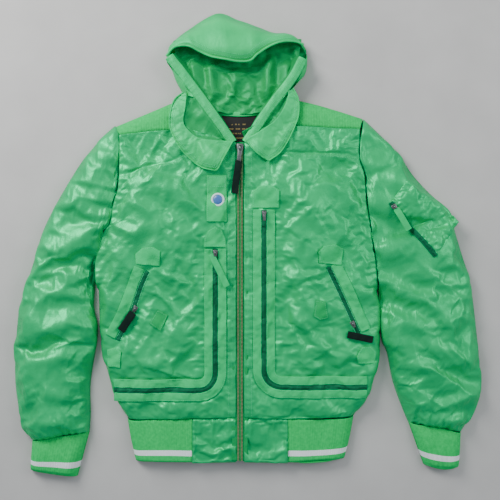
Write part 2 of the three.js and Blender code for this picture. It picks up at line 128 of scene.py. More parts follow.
def near(line: Array, xy: Array) -> tuple[Array, Array]:
    """How far each point lies from a line, and the share of the line's length where it is nearest."""
    dense = along(np.array(line, float), np.linspace(0, 1, 121))
    a, d = dense[:-1], np.diff(dense, axis=0)
    rel = xy[:, None, :] - a[None]
    t = np.clip((rel * d).sum(-1) / np.maximum((d * d).sum(-1), 1e-9), 0, 1)
    gap = np.sqrt(((rel - t[..., None] * d[None]) ** 2).sum(-1))
    best = gap.argmin(1)
    row = np.arange(len(xy))
    return gap[row, best], (best + t[row, best]) / len(a)


def ease(value: Array, low: float = 0, high: float = 1) -> Array:
    """A smooth step from 0 at low to 1 at high."""
    t = np.clip((value - low) / (high - low), 0, 1)
    return t * t * (3 - 2 * t)


def ripple(xy: Array, wave: float, seed: int, angle: float = 0, stretch: float = 1) -> Array:
    """Soft irregular folds, from about -1 to 1.

    Args:
        xy: Points in millimetres.
        wave: The usual distance from crest to crest.
        seed: Which pattern.
        angle: The direction across the folds, in degrees from +X.
        stretch: How many times longer than wide a fold is.

    Returns:
        One height for each point.
    """
    rng = np.random.default_rng(seed)
    turn = math.radians(angle)
    u = xy[:, 0] * math.cos(turn) + xy[:, 1] * math.sin(turn)
    v = (xy[:, 1] * math.cos(turn) - xy[:, 0] * math.sin(turn)) / stretch
    total = np.zeros(len(xy))
    for _ in range(9):
        bend = rng.normal(0, 0.45)
        k = 2 * math.pi / (wave * rng.uniform(0.7, 1.5))
        swing = rng.uniform(0.5, 1.3)
        sway = swing * np.sin(2 * math.pi * v / (wave * rng.uniform(1.6, 3)) + rng.uniform(0, 7))
        total += np.sin(k * (u * math.cos(bend) + v * math.sin(bend)) + sway + rng.uniform(0, 7))
    return total / 4


def creases(xy: Array, wave: float, seed: int, angle: float = 0, stretch: float = 1) -> Array:
    """Sharp folds of stiff thin cloth: flat facets that meet in ridges, from about -1 to 1."""
    first = np.abs(ripple(xy, wave * 2, seed, angle, stretch))
    second = np.abs(ripple(xy, wave * 1.4, seed + 100, angle + 70, stretch))
    return 1 - 1.2 * np.minimum(first, 1.3) - 0.6 * np.minimum(second, 1.3)


@dataclass
class Patch:
    """A four-sided piece of cloth. bottom and top run left to right, left and right run bottom to top."""

    bottom: Array
    top: Array
    left: Array
    right: Array

    def at(self, u: Array, v: Array) -> Array:
        """Points at shares u across and v up, in millimetres."""
        b, t, l, r = along(self.bottom, u), along(self.top, u), along(self.left, v), along(self.right, v)
        u, v = u[:, None], v[:, None]
        corners = ((1 - u) * (1 - v) * self.bottom[0] + u * (1 - v) * self.bottom[-1]
                   + (1 - u) * v * self.top[0] + u * v * self.top[-1])
        return (1 - v) * b + v * t + (1 - u) * l + u * r - corners

    def outline(self) -> Array:
        """The closed outline's points."""
        return np.vstack([self.bottom, self.right[1:], self.top[::-1][1:], self.left[::-1][1:-1]])


# ---------------------------------------------------------------- finishes


class Tree:
    """A material's node tree, with short calls for what the finishes share."""

    def __init__(self, name: str) -> None:
        """Starts a material of that name."""
        self.material = bpy.data.materials.new(name)
        self.material.use_nodes = True
        self.nodes = self.material.node_tree.nodes
        self.shader = self.nodes["Principled BSDF"]
        self.coords = self.add("ShaderNodeTexCoord")

    def add(self, kind: str, **values: object) -> bpy.types.Node:
        """Adds a node, and sets its properties."""
        node = self.nodes.new(kind)
        for key, value in values.items():
            setattr(node, key, value)
        return node

    def shade(self, **values: object) -> None:
        """Sets plain values on the shader, named with _ for a space."""
        for key, value in values.items():
            self.shader.inputs[key.replace("_", " ")].default_value = value

    def link(self, out: Socket, into: Socket) -> None:
        """Links one socket to another."""
        self.material.node_tree.links.new(out, into)

    def placed(self, source: str, scale: Triple, turn: float = 0) -> Socket:
        """Coordinates from a source, scaled and turned about Z by degrees."""
        mapping = self.add("ShaderNodeMapping")
        mapping.inputs["Scale"].default_value = scale
        mapping.inputs["Rotation"].default_value = (0, 0, math.radians(turn))
        self.link(self.coords.outputs[source], mapping.inputs["Vector"])
        return mapping.outputs["Vector"]

    def noise(self, scale: float, detail: float, vector: Socket, rough: float = 0.5) -> Socket:
        """A noise pattern's value."""
        node = self.add("ShaderNodeTexNoise")
        node.inputs["Scale"].default_value = scale
        node.inputs["Detail"].default_value = detail
        node.inputs["Roughness"].default_value = rough
        self.link(vector, node.inputs["Vector"])
        return node.outputs["Fac"]

    def math(self, kind: str, a: Socket, b: object) -> Socket:
        """One sum of a socket and a socket or number."""
        node = self.add("ShaderNodeMath", operation=kind)
        self.link(a, node.inputs[0])
        if isinstance(b, (int, float)):
            node.inputs[1].default_value = b
        else:
            self.link(b, node.inputs[1])
        return node.outputs[0]

    def ramp(self, value: Socket, stops: Sequence[tuple[float, tuple]], steps: bool = False) -> Socket:
        """A colour ramp over a value."""
        node = self.add("ShaderNodeValToRGB")
        if steps:
            node.color_ramp.interpolation = "CONSTANT"
        elements = node.color_ramp.elements
        while len(elements) < len(stops):
            elements.new(0.5)
        for element, (place, colour) in zip(elements, stops):
            element.position = place
            element.color = (*colour, 1)
        self.link(value, node.inputs["Fac"])
        return node.outputs["Color"]

    def bump(self, height: Socket, strength: float, distance: float, under: Socket | None = None) -> Socket:
        """A bump from a height, over another bump if one is given."""
        node = self.add("ShaderNodeBump")
        node.inputs["Strength"].default_value = strength
        node.inputs["Distance"].default_value = distance
        self.link(height, node.inputs["Height"])
        if under is not None:
            self.link(under, node.inputs["Normal"])
        return node.outputs["Normal"]


def shades(colour: Triple, spread: float) -> list[tuple[float, tuple]]:
    """Stops of a ramp from a darker to a lighter shade of a colour."""
    dark = tuple(c * (1 - spread) for c in colour)
    light = tuple(min(1.0, c * (1 + spread) + 0.02 * spread) for c in colour)
    return [(0.25, dark), (0.75, light)]


@dataclass(frozen=True)
class Nylon:
    """Thin satin nylon with fine crinkles."""

    name: str = "satin_nylon"
    colour: Triple = (0.0, 0.46, 0.135)
    roughness: float = 0.42
    crinkle: float = 0.3
    lustre: float = 0.3

    def build(self) -> Finish:
        """The material."""
        t = Tree(self.name)
        flat = t.placed("Object", (1, 1, 1))
        tone = t.noise(22, 3, flat)
        t.link(t.ramp(tone, shades(self.colour, 0.16)), t.shader.inputs["Base Color"])
        rough = t.add("ShaderNodeMapRange")
        rough.inputs["To Min"].default_value = self.roughness - 0.05
        rough.inputs["To Max"].default_value = self.roughness + 0.07
        t.link(t.noise(60, 2, flat), rough.inputs["Value"])
        t.link(rough.outputs["Result"], t.shader.inputs["Roughness"])
        big = t.noise(34, 4, t.placed("Object", (1, 0.7, 1), 24), 0.6)
        small = t.noise(130, 5, t.placed("Object", (0.8, 1, 1), -31), 0.62)
        creases = t.add("ShaderNodeTexVoronoi", feature="DISTANCE_TO_EDGE")
        creases.inputs["Scale"].default_value = 46
        creases.inputs["Randomness"].default_value = 1
        warp = t.add("ShaderNodeMixRGB", blend_type="ADD")
        warp.inputs["Fac"].default_value = 0.02
        t.link(flat, warp.inputs["Color1"])
        wander = t.add("ShaderNodeTexNoise")
        wander.inputs["Scale"].default_value = 40
        t.link(flat, wander.inputs["Vector"])
        t.link(wander.outputs["Color"], warp.inputs["Color2"])
        t.link(warp.outputs["Color"], creases.inputs["Vector"])
        weave = t.noise(1500, 1, flat)
        first = t.bump(big, self.crinkle, 0.006)
        second = t.bump(small, self.crinkle * 0.8, 0.0016, first)
        third = t.bump(creases.outputs["Distance"], self.crinkle * 0.22, 0.002, second)
        t.link(t.bump(weave, 0.08, 0.0002, third), t.shader.inputs["Normal"])
        t.shade(Sheen_Weight=0.1, Sheen_Roughness=0.4, Sheen_Tint=(0.1, 1, 0.4, 1), Metallic=self.lustre)
        t.shade(Specular_IOR_Level=0.75, Specular_Tint=(0.12, 1, 0.5, 1))
        return t.material


@dataclass(frozen=True)
class Webbing:
    """Matte woven band, patch or ribbon."""

    name: str
    colour: Triple
    roughness: float = 0.85
    rib: float = 900

    def build(self) -> Finish:
        """The material."""
        t = Tree(self.name)
        flat = t.placed("Object", (1, 1, 1))
        tone = t.noise(70, 3, flat)
        t.link(t.ramp(tone, shades(self.colour, 0.12)), t.shader.inputs["Base Color"])
        t.shade(Roughness=self.roughness, Specular_Tint=(0.2, 1, 0.5, 1), Specular_IOR_Level=0.25)
        wave = t.add("ShaderNodeTexWave", bands_direction="DIAGONAL")
        wave.inputs["Scale"].default_value = self.rib / 3
        wave.inputs["Distortion"].default_value = 0.6
        t.link(flat, wave.inputs["Vector"])
        low = t.bump(t.noise(240, 3, flat), 0.35, 0.0012)
        t.link(t.bump(wave.outputs["Fac"], 0.3, 0.0003, low), t.shader.inputs["Normal"])
        return t.material


@dataclass(frozen=True)
class Knit:
    """Rib knit, with an optional white stripe between two heights of its UV map."""

    name: str
    colour: Triple = (0.0, 0.54, 0.115)
    stripe: tuple[float, ...] = ()

    def build(self) -> Finish:
        """The material."""
        t = Tree(self.name)
        flat = t.placed("Object", (1, 1, 1))
        green = t.ramp(t.noise(180, 3, flat), shades(self.colour, 0.15))
        t.shade(Roughness=0.92, Specular_Tint=(0.1, 1, 0.4, 1), Specular_IOR_Level=0.25)
        if self.stripe:
            split = t.add("ShaderNodeSeparateXYZ")
            t.link(t.coords.outputs["UV"], split.inputs["Vector"])
            fuzz = t.math("MULTIPLY", t.noise(900, 2, flat), 0.02)
            place = t.math("ADD", split.outputs["Y"], fuzz)
            ends = [(0, (0, 0, 0))] + [(s, (1, 1, 1) if i % 2 == 0 else (0, 0, 0))
                                       for i, s in enumerate(self.stripe)]
            mask = t.ramp(place, ends, steps=True)
            mix = t.add("ShaderNodeMixRGB")
            t.link(mask, mix.inputs["Fac"])
            t.link(green, mix.inputs["Color1"])
            mix.inputs["Color2"].default_value = (0.80, 0.86, 0.85, 1)
            green = mix.outputs["Color"]
        t.link(green, t.shader.inputs["Base Color"])
        loops = t.noise(1400, 2, t.placed("Object", (1, 0.5, 1)))
        low = t.bump(t.noise(160, 4, flat), 0.4, 0.0012)
        t.link(t.bump(loops, 0.5, 0.0005, low), t.shader.inputs["Normal"])
        return t.material


@dataclass(frozen=True)
class Metal:
    """Worn cast metal of zips and sliders."""

    name: str
    colour: Triple
    roughness: float = 0.42

    def build(self) -> Finish:
        """The material."""
        t = Tree(self.name)
        flat = t.placed("Object", (1, 1, 1))
        t.link(t.ramp(t.noise(500, 4, flat), shades(self.colour, 0.3)), t.shader.inputs["Base Color"])
        t.shade(Metallic=0.9, Roughness=self.roughness)
        t.link(t.bump(t.noise(900, 3, flat), 0.2, 0.0003), t.shader.inputs["Normal"])
        return t.material


@dataclass(frozen=True)
class Enamel:
    """Glossy moulded plastic or enamel."""

    name: str
    colour: Triple

    def build(self) -> Finish:
        """The material."""
        t = Tree(self.name)
        flat = t.placed("Object", (1, 1, 1))
        t.link(t.ramp(t.noise(300, 2, flat), shades(self.colour, 0.12)), t.shader.inputs["Base Color"])
        t.shade(Roughness=0.3)
        t.link(t.bump(t.noise(700, 2, flat), 0.1, 0.0003), t.shader.inputs["Normal"])
        return t.material


@dataclass(frozen=True)
class Label:
    """Black woven label with plain gold lines that stand for writing."""

    name: str = "woven_label"
    centre: tuple[float, float] = (0, 0.232)

    def build(self) -> Finish:
        """The material."""
        t = Tree(self.name)
        flat = t.placed("Object", (1, 1, 1))
        wave = t.add("ShaderNodeTexWave", bands_direction="Y")
        wave.inputs["Scale"].default_value = 34
        t.link(flat, wave.inputs["Vector"])
        breaks = t.noise(210, 1, t.placed("Object", (1, 0.2, 1)))
        lines = t.math("GREATER_THAN", wave.outputs["Fac"], 0.8)
        broken = t.math("MULTIPLY", lines, t.math("GREATER_THAN", breaks, 0.45))
        oval = t.add("ShaderNodeMapping")
        oval.inputs["Location"].default_value = (0, -self.centre[1] / 0.017, 0)
        oval.inputs["Scale"].default_value = (1 / 0.026, 1 / 0.017, 0)
        t.link(t.coords.outputs["Object"], oval.inputs["Vector"])
        reach = t.add("ShaderNodeVectorMath", operation="LENGTH")
        t.link(oval.outputs["Vector"], reach.inputs[0])
        inside = t.math("LESS_THAN", reach.outputs["Value"], 1.0)
        mask = t.math("MULTIPLY", broken, inside)
        t.link(t.ramp(mask, [(0, (0.006, 0.006, 0.006)), (1, (0.22, 0.15, 0.05))]),
               t.shader.inputs["Base Color"])
        t.shade(Roughness=0.8)
        t.link(t.bump(t.noise(1500, 1, flat), 0.3, 0.0003), t.shader.inputs["Normal"])
        return t.material


class Finishes:
    """Each finish of the jacket, built once."""

    def __init__(self) -> None:
        """Builds the materials."""
        green = (0.0, 0.54, 0.15)
        self.nylon = Nylon().build()
        self.hood_nylon = Nylon("hood_nylon", (0.0, 0.54, 0.14), 0.52, 0.35, 0.12).build()
        # Darker green: painted shade for the back and the lining, which show only in gaps under the fronts
        # and inside the neck.
        self.lining = Nylon("lining_cloth", (0.0, 0.28, 0.07), 0.55, 0.3).build()
        self.webbing = Webbing("green_webbing", green).build()
        # Darker green for the hood's inside: painted shade in the hollow under the brim, on the same green
        # nylon.
        self.inner_nylon = Nylon("hood_inner_nylon", (0.0, 0.30, 0.07), 0.52, 0.35, 0.12).build()
        # Darker green for the collar stands: painted shade between each leaf's fold and the hood's hem.
        self.stand_nylon = Nylon("stand_nylon", (0.0, 0.30, 0.07), 0.5, 0.3, 0.1).build()
        self.tape = Webbing("zip_tape", (0.0, 0.30, 0.075)).build()
        self.dull = Webbing("dull_webbing", (0.0, 0.36, 0.09)).build()
        self.thread = Webbing("thread", (0.10, 0.80, 0.40), 0.6).build()
        self.ribbon = Webbing("black_ribbon", (0.006, 0.007, 0.009), 0.75).build()
        self.knit = Knit("shoulder_knit", (0.0, 0.50, 0.105)).build()
        self.hem_rib = Knit("hem_rib", stripe=(0.17, 0.30)).build()
        self.cuff_rib = Knit("cuff_rib", stripe=(0.22, 0.36)).build()
        self.brass = Metal("zip_teeth", (0.34, 0.36, 0.20), 0.5).build()
        self.steel = Metal("slider_metal", (0.16, 0.17, 0.17)).build()
        self.coil = Webbing("zip_coil", (0.004, 0.11, 0.045), 0.5).build()
        self.ring = Enamel("snap_ring", (0.62, 0.80, 0.76)).build()
        self.dot = Enamel("snap_dot", (0.05, 0.16, 0.42)).build()
        self.label = Label().build()


# ---------------------------------------------------------------- mesh tools


def object_from(name: str, bm: bmesh.types.BMesh, material: Finish, smooth: bool = True) -> Piece:
    """Turns a bmesh into an object at the origin with one material."""
    mesh = bpy.data.meshes.new(name)
    bm.to_mesh(mesh)
    bm.free()
    mesh.materials.append(material)
    mesh.polygons.foreach_set("use_smooth", [smooth] * len(mesh.polygons))
    obj = bpy.data.objects.new(name, mesh)
    bpy.context.scene.collection.objects.link(obj)
    return obj


def coordinates(obj: Piece) -> Array:
    """The vertices of an object's mesh, one row each, in metres."""
    co = np.zeros(len(obj.data.vertices) * 3)
    obj.data.vertices.foreach_get("co", co)
    return co.reshape(-1, 3)


def place_vertices(obj: Piece, co: Array) -> None:
    """Moves the vertices of an object's mesh."""
    obj.data.vertices.foreach_set("co", co.astype(np.float32).ravel())
    obj.data.update()


def add_modifier(obj: Piece, kind: str, **values: object) -> None:
    """Adds a modifier to a piece."""
    modifier = obj.modifiers.new(kind.lower(), kind)
    for key, value in values.items():
        setattr(modifier, key, value)


def thicken(obj: Piece, thickness: float, levels: int = 1, offset: float = -1) -> None:
    """Gives a sheet a wall, in millimetres, and a smoother surface."""
    if levels:
        add_modifier(obj, "SUBSURF", levels=levels, render_levels=levels)
    add_modifier(obj, "SOLIDIFY", thickness=thickness * MM, offset=offset)


def grid_sheet(name: str, patch: Patch, cell: float, height: HeightFn, material: Finish) -> Piece:
    """Makes a sheet of cloth from a grid warped to a patch.

    Args:
        name: The piece's name.
        patch: The outline, in millimetres.
        cell: The size of a cell, in millimetres.
        height: Gives each point's height from its place and its shares across and up.
        material: The finish.

    Returns:
        The sheet, with its UV map holding the shares across and up.
    """
    across = max(2, round((length_of(patch.bottom) + length_of(patch.top)) / 2 / cell))
    up = max(2, round((length_of(patch.left) + length_of(patch.right)) / 2 / cell))
    bm = bmesh.new()
    bmesh.ops.create_grid(bm, x_segments=across, y_segments=up, size=0.5, calc_uvs=True)
    obj = object_from(name, bm, material)
    if not obj.data.uv_layers:
        obj.data.uv_layers.new(name="UVMap")
    co = coordinates(obj)
    u, v = np.clip(co[:, 0] + 0.5, 0, 1), np.clip(co[:, 1] + 0.5, 0, 1)
    loops = np.zeros(len(obj.data.loops), int)
    obj.data.loops.foreach_get("vertex_index", loops)
    obj.data.uv_layers[0].data.foreach_set("uv", np.stack([u, v], 1)[loops].ravel())
    xy = patch.at(u, v)
    z = height(xy, np.stack([u, v], 1))
    place_vertices(obj, np.column_stack([xy, z]) * MM)
    outward(obj)
    return obj


def outward(obj: Piece) -> None:
    """Turns an open sheet's faces to look up, or a closed mesh's to look out."""
    bm = bmesh.new()
    bm.from_mesh(obj.data)
    if any(e.is_boundary for e in bm.edges):
        if sum(f.normal.z * f.calc_area() for f in bm.faces) < 0:
            bmesh.ops.reverse_faces(bm, faces=bm.faces)
    else:
        bmesh.ops.recalc_face_normals(bm, faces=bm.faces)
    bm.to_mesh(obj.data)
    bm.free()


@dataclass(frozen=True)
class Slack:
    """How much bigger a piece is cut than the space between its seams, and how it is settled."""

    spare: float = 0.06
    frames: int = 16
    pressure: float = 0.8
    cap: float = 9.0
    stiffness: float = 40
    bending: float = 0.05


def settle(obj: Piece, pinned: Array, slack: Slack) -> None:
    """Lets a sheet buckle between its seams by cloth simulation, and keeps the result as its mesh.

    Args:
        obj: The sheet.
        pinned: How firmly each vertex is sewn down, from 0 to 1.
        slack: The spare cloth, and the run's settings.
    """
    start = coordinates(obj)
    group = obj.vertex_groups.new(name="sewn")
    group.add([int(i) for i in np.nonzero(pinned > SETTLED)[0]], 1.0, "REPLACE")
    cloth = obj.modifiers.new("cloth", "CLOTH")
    settings = cloth.settings
    settings.quality = 5
    settings.mass = 0.1
    settings.tension_stiffness = settings.compression_stiffness = slack.stiffness
    settings.shear_stiffness = slack.stiffness / 4
    settings.bending_stiffness = slack.bending
    settings.air_damping = 2
    settings.vertex_group_mass = group.name
    settings.shrink_min = -slack.spare
    settings.effector_weights.gravity = 0
    settings.use_pressure = True
    settings.uniform_pressure_force = slack.pressure
    cloth.collision_settings.use_collision = False
    cloth.point_cache.frame_start = 1
    cloth.point_cache.frame_end = slack.frames + 1
    scene = bpy.context.scene
    for number in range(1, slack.frames + 1):
        scene.frame_set(number)
    shaped = obj.evaluated_get(bpy.context.evaluated_depsgraph_get()).to_mesh()
    co = np.zeros(len(shaped.vertices) * 3)
    shaped.vertices.foreach_get("co", co)
    moved = co.reshape(-1, 3) - start
    obj.evaluated_get(bpy.context.evaluated_depsgraph_get()).to_mesh_clear()
    reach = np.linalg.norm(moved, axis=1, keepdims=True)
    moved *= np.minimum(1, slack.cap * MM / np.maximum(reach, 1e-9))
    obj.modifiers.remove(cloth)
    obj.vertex_groups.clear()
    place_vertices(obj, start + moved)
    scene.frame_set(1)
    LOG.info("%s settled, moved up to %.1f mm", obj.name, float(reach.max()) / MM)


def length_of(line: Array) -> float:
    """The length of a line of points."""
    return float(np.hypot(*np.diff(line, axis=0).T).sum())


def area_of(patch: Patch) -> float:
    """The area that an outline encloses, in square millimetres."""
    x, y = np.vstack([patch.bottom, patch.right, patch.top[::-1], patch.left[::-1]]).T
    return abs(float(np.dot(x, np.roll(y, -1)) - np.dot(y, np.roll(x, -1)))) / 2


@dataclass(frozen=True)
class Roll:
    """An edge where the cloth turns down: the cut is longer there than the outline shows."""

    line: Points
    reach: float
    drop: float

    def extra(self) -> float:
        """The cloth the turn takes beyond the outline: a quarter of an ellipse, in square millimetres."""
        arc = math.pi / 4 * math.sqrt(2 * (self.reach**2 + self.drop**2))
        return length_of(np.array(self.line, float)) * (arc - self.reach)


def declare(patch: Patch, spare: float = 0.0,
            rolls: Sequence[Roll] = ()) -> None:
    """Works out a sheet's cut size, from its outline, its spare cloth and its turned edges, and keeps none of
    it.

    A tape under LEAST_FLAT wide is part of a zip, and is skipped.

    Args:
        patch: Its outline, whose mean sides give the cut's width and length.
        spare: How much longer each way it was cut, for its folds.
        rolls: Its turned edges.
    """
    width = MM * (1 + spare) * (length_of(patch.bottom) + length_of(patch.top)) / 2
    length = MM * (1 + spare) * (length_of(patch.left) + length_of(patch.right)) / 2
    if min(width, length) < LEAST_FLAT:
        return
    area = MM**2 * (area_of(patch) * (1 + spare) ** 2 + sum(roll.extra() for roll in rolls))


def lay(obj: Piece, patch: Patch, rests_on: Sequence[str], wall: float, levels: int = 1,
        side: Side = Side.LEFT,
        slack: Slack | None = None, spare: float = 0.0, rolls: Sequence[Roll] = ()) -> None:
    """Args:
        obj: The sheet, in its own side's measure.
        patch: Its outline.
        rests_on: The pieces under it; not used.
        wall: Its thickness.
        levels: How often its surface is divided.
        side: The side that it belongs on.
        slack: How it settles, or None if it lies taut.
        spare: How much longer each way it was cut.
        rolls: Its turned edges.
    """
    mirror_to(obj, side)
    if slack:
        settle(obj, edge_pins(obj), slack)
    thicken(obj, wall, levels)
    declare(patch, spare, rolls)


def finish_piece(obj: Piece, body: str | None, slot: str, *nodes: str) -> Piece:
    """Sets what a piece rides on, hides the nodes it stands for, and reports it."""
    if body:
        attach(obj, body)
    if nodes:
        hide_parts(*nodes)
    LOG.info("%s: %d faces", obj.name, len(obj.data.polygons))
    return obj


def plate(name: str, outline: Array, low: float, high: float, material: Finish,
          round_by: float = 0.6) -> Piece:
    """A flat patch with rounded edges.

    Args:
        name: The piece's name.
        outline: Its corners, in millimetres.
        low: The level of its underside.
        high: The level of its top.
        material: The finish.
        round_by: The radius of its edges.

    Returns:
        The piece.
    """
    bm = bmesh.new()
    verts = [bm.verts.new((x * MM, y * MM, low * MM)) for x, y in outline]
    face = bm.faces.new(verts)
    lifted = bmesh.ops.extrude_face_region(bm, geom=[face])["geom"]
    tops = [g for g in lifted if isinstance(g, bmesh.types.BMVert)]
    bmesh.ops.translate(bm, verts=tops, vec=(0, 0, (high - low) * MM))
    bmesh.ops.bevel(bm, geom=list(bm.edges), offset=round_by * MM, segments=2, affect="EDGES",
                    profile=0.5, material=-1)
    bmesh.ops.recalc_face_normals(bm, faces=bm.faces)
    return object_from(name, bm, material)


def strip_outline(x: float, y: float, width: float, length: float, lean: float) -> Array:
    """A strip from a point, turned from -Y towards +X by degrees."""
    a = math.radians(lean)
    down, side = np.array([math.sin(a), -math.cos(a)]), np.array([math.cos(a), math.sin(a)])
    start = np.array([x, y])
    return np.array([start - side * width / 2, start - side * width / 2 + down * length,
                     start + side * width / 2 + down * length, start + side * width / 2])


@dataclass(frozen=True)
class Stitch:
    """One stitch of a topstitched seam."""

    length: float = 2.6
    gap: float = 1.3
    width: float = 0.7

    def sew(self, name: str, lines: Sequence[Array], material: Finish) -> Piece:
        """Sews rows of stitches along lines of points.

        Args:
            name: The piece's name.
            lines: Lines of x, y, z points, in millimetres.
            material: The thread.

        Returns:
            All the stitches as one piece.
        """
        bm = bmesh.new()
        for line in lines:
            total = float(np.linalg.norm(np.diff(line, axis=0), axis=1).sum())
            count = max(1, int(total / (self.length + self.gap)))
            shares = (np.arange(count) + 0.5) / count
            step = 0.5 * self.length / max(total, 1e-6)
            middle = along(line, shares)
            heading = along(line, np.minimum(1, shares + step)) - along(line, np.maximum(0, shares - step))
            for place, way in zip(middle, heading):
                turn = Vector(way).to_track_quat("X", "Z").to_matrix().to_4x4()
                size = Matrix.Diagonal((self.length / 2 * MM, self.width / 2 * MM, self.width / 2 * MM, 1))
                matrix = Matrix.Translation(Vector(place) * MM) @ turn @ size
                bmesh.ops.create_icosphere(bm, subdivisions=1, radius=1, matrix=matrix)
        return object_from(name, bm, material)


class Ground:
    """The cloth that lies under a piece, felt from above."""

    def __init__(self, sheets: Sequence[Piece], base: float) -> None:
        """Keeps a search tree of each sheet, and the level in millimetres where there is none."""
        self.base = base
        self.sheets = list(sheets)
        self.trees = []
        for obj in sheets:
            verts = [v.co.copy() for v in obj.data.vertices]
            self.trees.append(BVHTree.FromPolygons(verts, [p.vertices[:] for p in obj.data.polygons]))

    def height(self, xy: Array) -> Array:
        """The highest cloth at each point, in millimetres."""
        out = []
        for x, y in xy:
            start = Vector((x * MM, y * MM, 0.2))
            hits = [tree.ray_cast(start, Vector((0, 0, -1)))[0] for tree in self.trees]
            levels = [hit.z / MM for hit in hits if hit is not None]
            out.append(max(levels) if levels else self.base)
        return np.array(out)

    def row(self, line: Array, lift: float = THREAD_LIFT, reach: float = 0) -> Array:
        """A flat line laid on the cloth, that much over it."""
        return np.column_stack([line, (self.over(line, reach) if reach else self.height(line)) + lift])

    def under(self, xy: Array) -> list[str]:
        """The names of the sheets that lie uppermost along a line."""
        found = []
        for x, y in xy:
            start = Vector((x * MM, y * MM, 0.2))
            hits = [(tree.ray_cast(start, Vector((0, 0, -1)))[0], obj.name)
                    for tree, obj in zip(self.trees, self.sheets)]
            levels = sorted((hit.z, name) for hit, name in hits if hit is not None)
            if levels and levels[-1][1] not in found:
                found.append(levels[-1][1])
        return found

    def over(self, xy: Array, reach: float) -> Array:
        """The level of a stiffer piece that bridges the hollows within its reach."""
        probes = [(0, 0), (reach, 0), (-reach, 0), (0, reach), (0, -reach)]
        return np.max([self.height(xy + np.array(p)) for p in probes], axis=0)


@dataclass(frozen=True)
class Fold:
    """A fold laid along a line: its half width and its height, both in millimetres."""

    line: Points
    width: float
    height: float

    def at(self, xy: Array) -> Array:
        """What the fold adds at each point."""
        gap, place = near(smooth_run(self.line), xy)
        fade = ease(place, 0, 0.25) * ease(1 - place, 0, 0.25)
        return self.height * np.exp(-(gap / self.width) ** 2) * fade


@dataclass(frozen=True)
class Pucker:
    """Small gathers across a seam, with the seam drawn down between them."""

    line: Points
    height: float = 1.1
    wave: float = 11
    reach: float = 16
    valley: float = 1.6

    def at(self, xy: Array, seed: int) -> Array:
        """What the gathers add at each point."""
        line = np.array(self.line, float)
        gap, place = near(line, xy)
        run = place * length_of(line)
        drift = 1.6 * ripple(np.column_stack([run, 0 * run]), self.wave * 3.2, seed)
        wave = np.sin(2 * math.pi * run / self.wave + drift)
        size = 0.6 + 0.4 * ripple(np.column_stack([run, 0 * run]), self.wave * 5, seed + 9)
        return self.height * size * wave * np.exp(-gap / self.reach) - self.valley * np.exp(-(gap / 3) ** 2)


def rounded(xy: Array, edges: Sequence[Points], reach: float, floor: float, top: Array) -> Array:
    """Rolls a surface down to a floor level along its free edges."""
    gap = np.min([near(np.array(e, float), xy)[0] for e in edges], axis=0)
    share = np.clip(gap / reach, 0, 1)
    return floor + (top - floor) * np.sqrt(1 - (1 - share) ** 2)


def edge_pins(obj: Piece) -> Array:
    """1 for each vertex on a sheet's outline and 0 inside."""
    pins = np.zeros(len(obj.data.vertices))
    bm = bmesh.new()
    bm.from_mesh(obj.data)
    for vert in bm.verts:
        if vert.is_boundary:
            pins[vert.index] = 1
    bm.free()
    return pins


def seam_pins(obj: Piece, lines: Sequence[Points], reach: float = 4) -> Array:
    """1 on the outline and near each seam, falling to 0 inside."""
    pins = edge_pins(obj)
    xy = coordinates(obj)[:, :2] / MM
    for line in lines:
        pins = np.maximum(pins, (near(np.array(line, float), xy)[0] < reach).astype(float))
    return pins


# ---------------------------------------------------------------- body


ZIP_HALF = 8.0
HEM = -438.0
WAIST = -346.0
NECK_BASE = 206.0


def zip_level(y: Array) -> Array:
    """The level of the front zip, which waves a little along its length."""
    y = np.asarray(y, float).reshape(-1)
    return 27 + 1.1 * ripple(np.column_stack([y * 0, y]), 120, 4, 90)


@dataclass(frozen=True)
class FrontShape:
    """The outlines and folds of one front, with X measured from the zip towards its own side."""

    side: Side
    side_edge: Points
    armhole: Points
    yoke: Points
    knit_seam: Points
    knit_top: Points
    band_x: float
    band_top: float
    band_y: float
    band_end: float
    hand_zip: Points
    folds: Sequence[Fold]
    seed: int

    def band_path(self) -> Array:
        """The middle line of the L-shaped band, from its top round the corner to its outer end."""
        radius = 34.0
        centre = np.array([self.band_x + radius, self.band_y + radius])
        angles = np.linspace(math.pi, 1.5 * math.pi, 12)
        corner = centre + radius * np.column_stack([np.cos(angles), np.sin(angles)])
        down = np.column_stack([np.full(14, self.band_x), np.linspace(self.band_top, centre[1], 14)])
        out = np.column_stack([np.linspace(centre[0], self.band_end, 12), np.full(12, self.band_y)])
        return np.vstack([down[:-1], corner, out[1:]])


LEFT_FRONT = FrontShape(
    side=Side.LEFT,
    side_edge=((230, -344), (248, -326), (263, -302), (271, -276), (280, -246), (284, -210), (284, -150),
               (278, -92)),
    armhole=((278, -92), (272, -40), (263, 20), (254, 80), (248, 140), (239, 172), (240, 232)),
    yoke=((84, 184), (152, 184), (210, 181), (240, 172)),
    knit_seam=((113, 238), (150, 236), (200, 233), (240, 232)),
    knit_top=((116, 294), (150, 286), (186, 276), (248, 256)),
    band_x=48, band_top=70, band_y=-284, band_end=254,
    hand_zip=((176, -44), (206, -108), (236, -176)),
    folds=(
        Fold(((90, 120), (150, 60), (226, 20)), 17, 5), Fold(((100, 40), (150, 0), (240, -50)), 14, 4),
        Fold(((130, 160), (180, 120), (236, 96)), 12, 4), Fold(((84, 20), (120, -60), (130, -150)), 15, 5),
        Fold(((96, -120), (140, -180), (200, -230)), 11, 4),
        Fold(((230, -200), (190, -240), (120, -246)), 9, 4),
        Fold(((30, 120), (60, 100), (110, 96)), 12, 3), Fold(((270, -230), (262, -290), (236, -330)), 10, 4),
    ),
    seed=11,
)
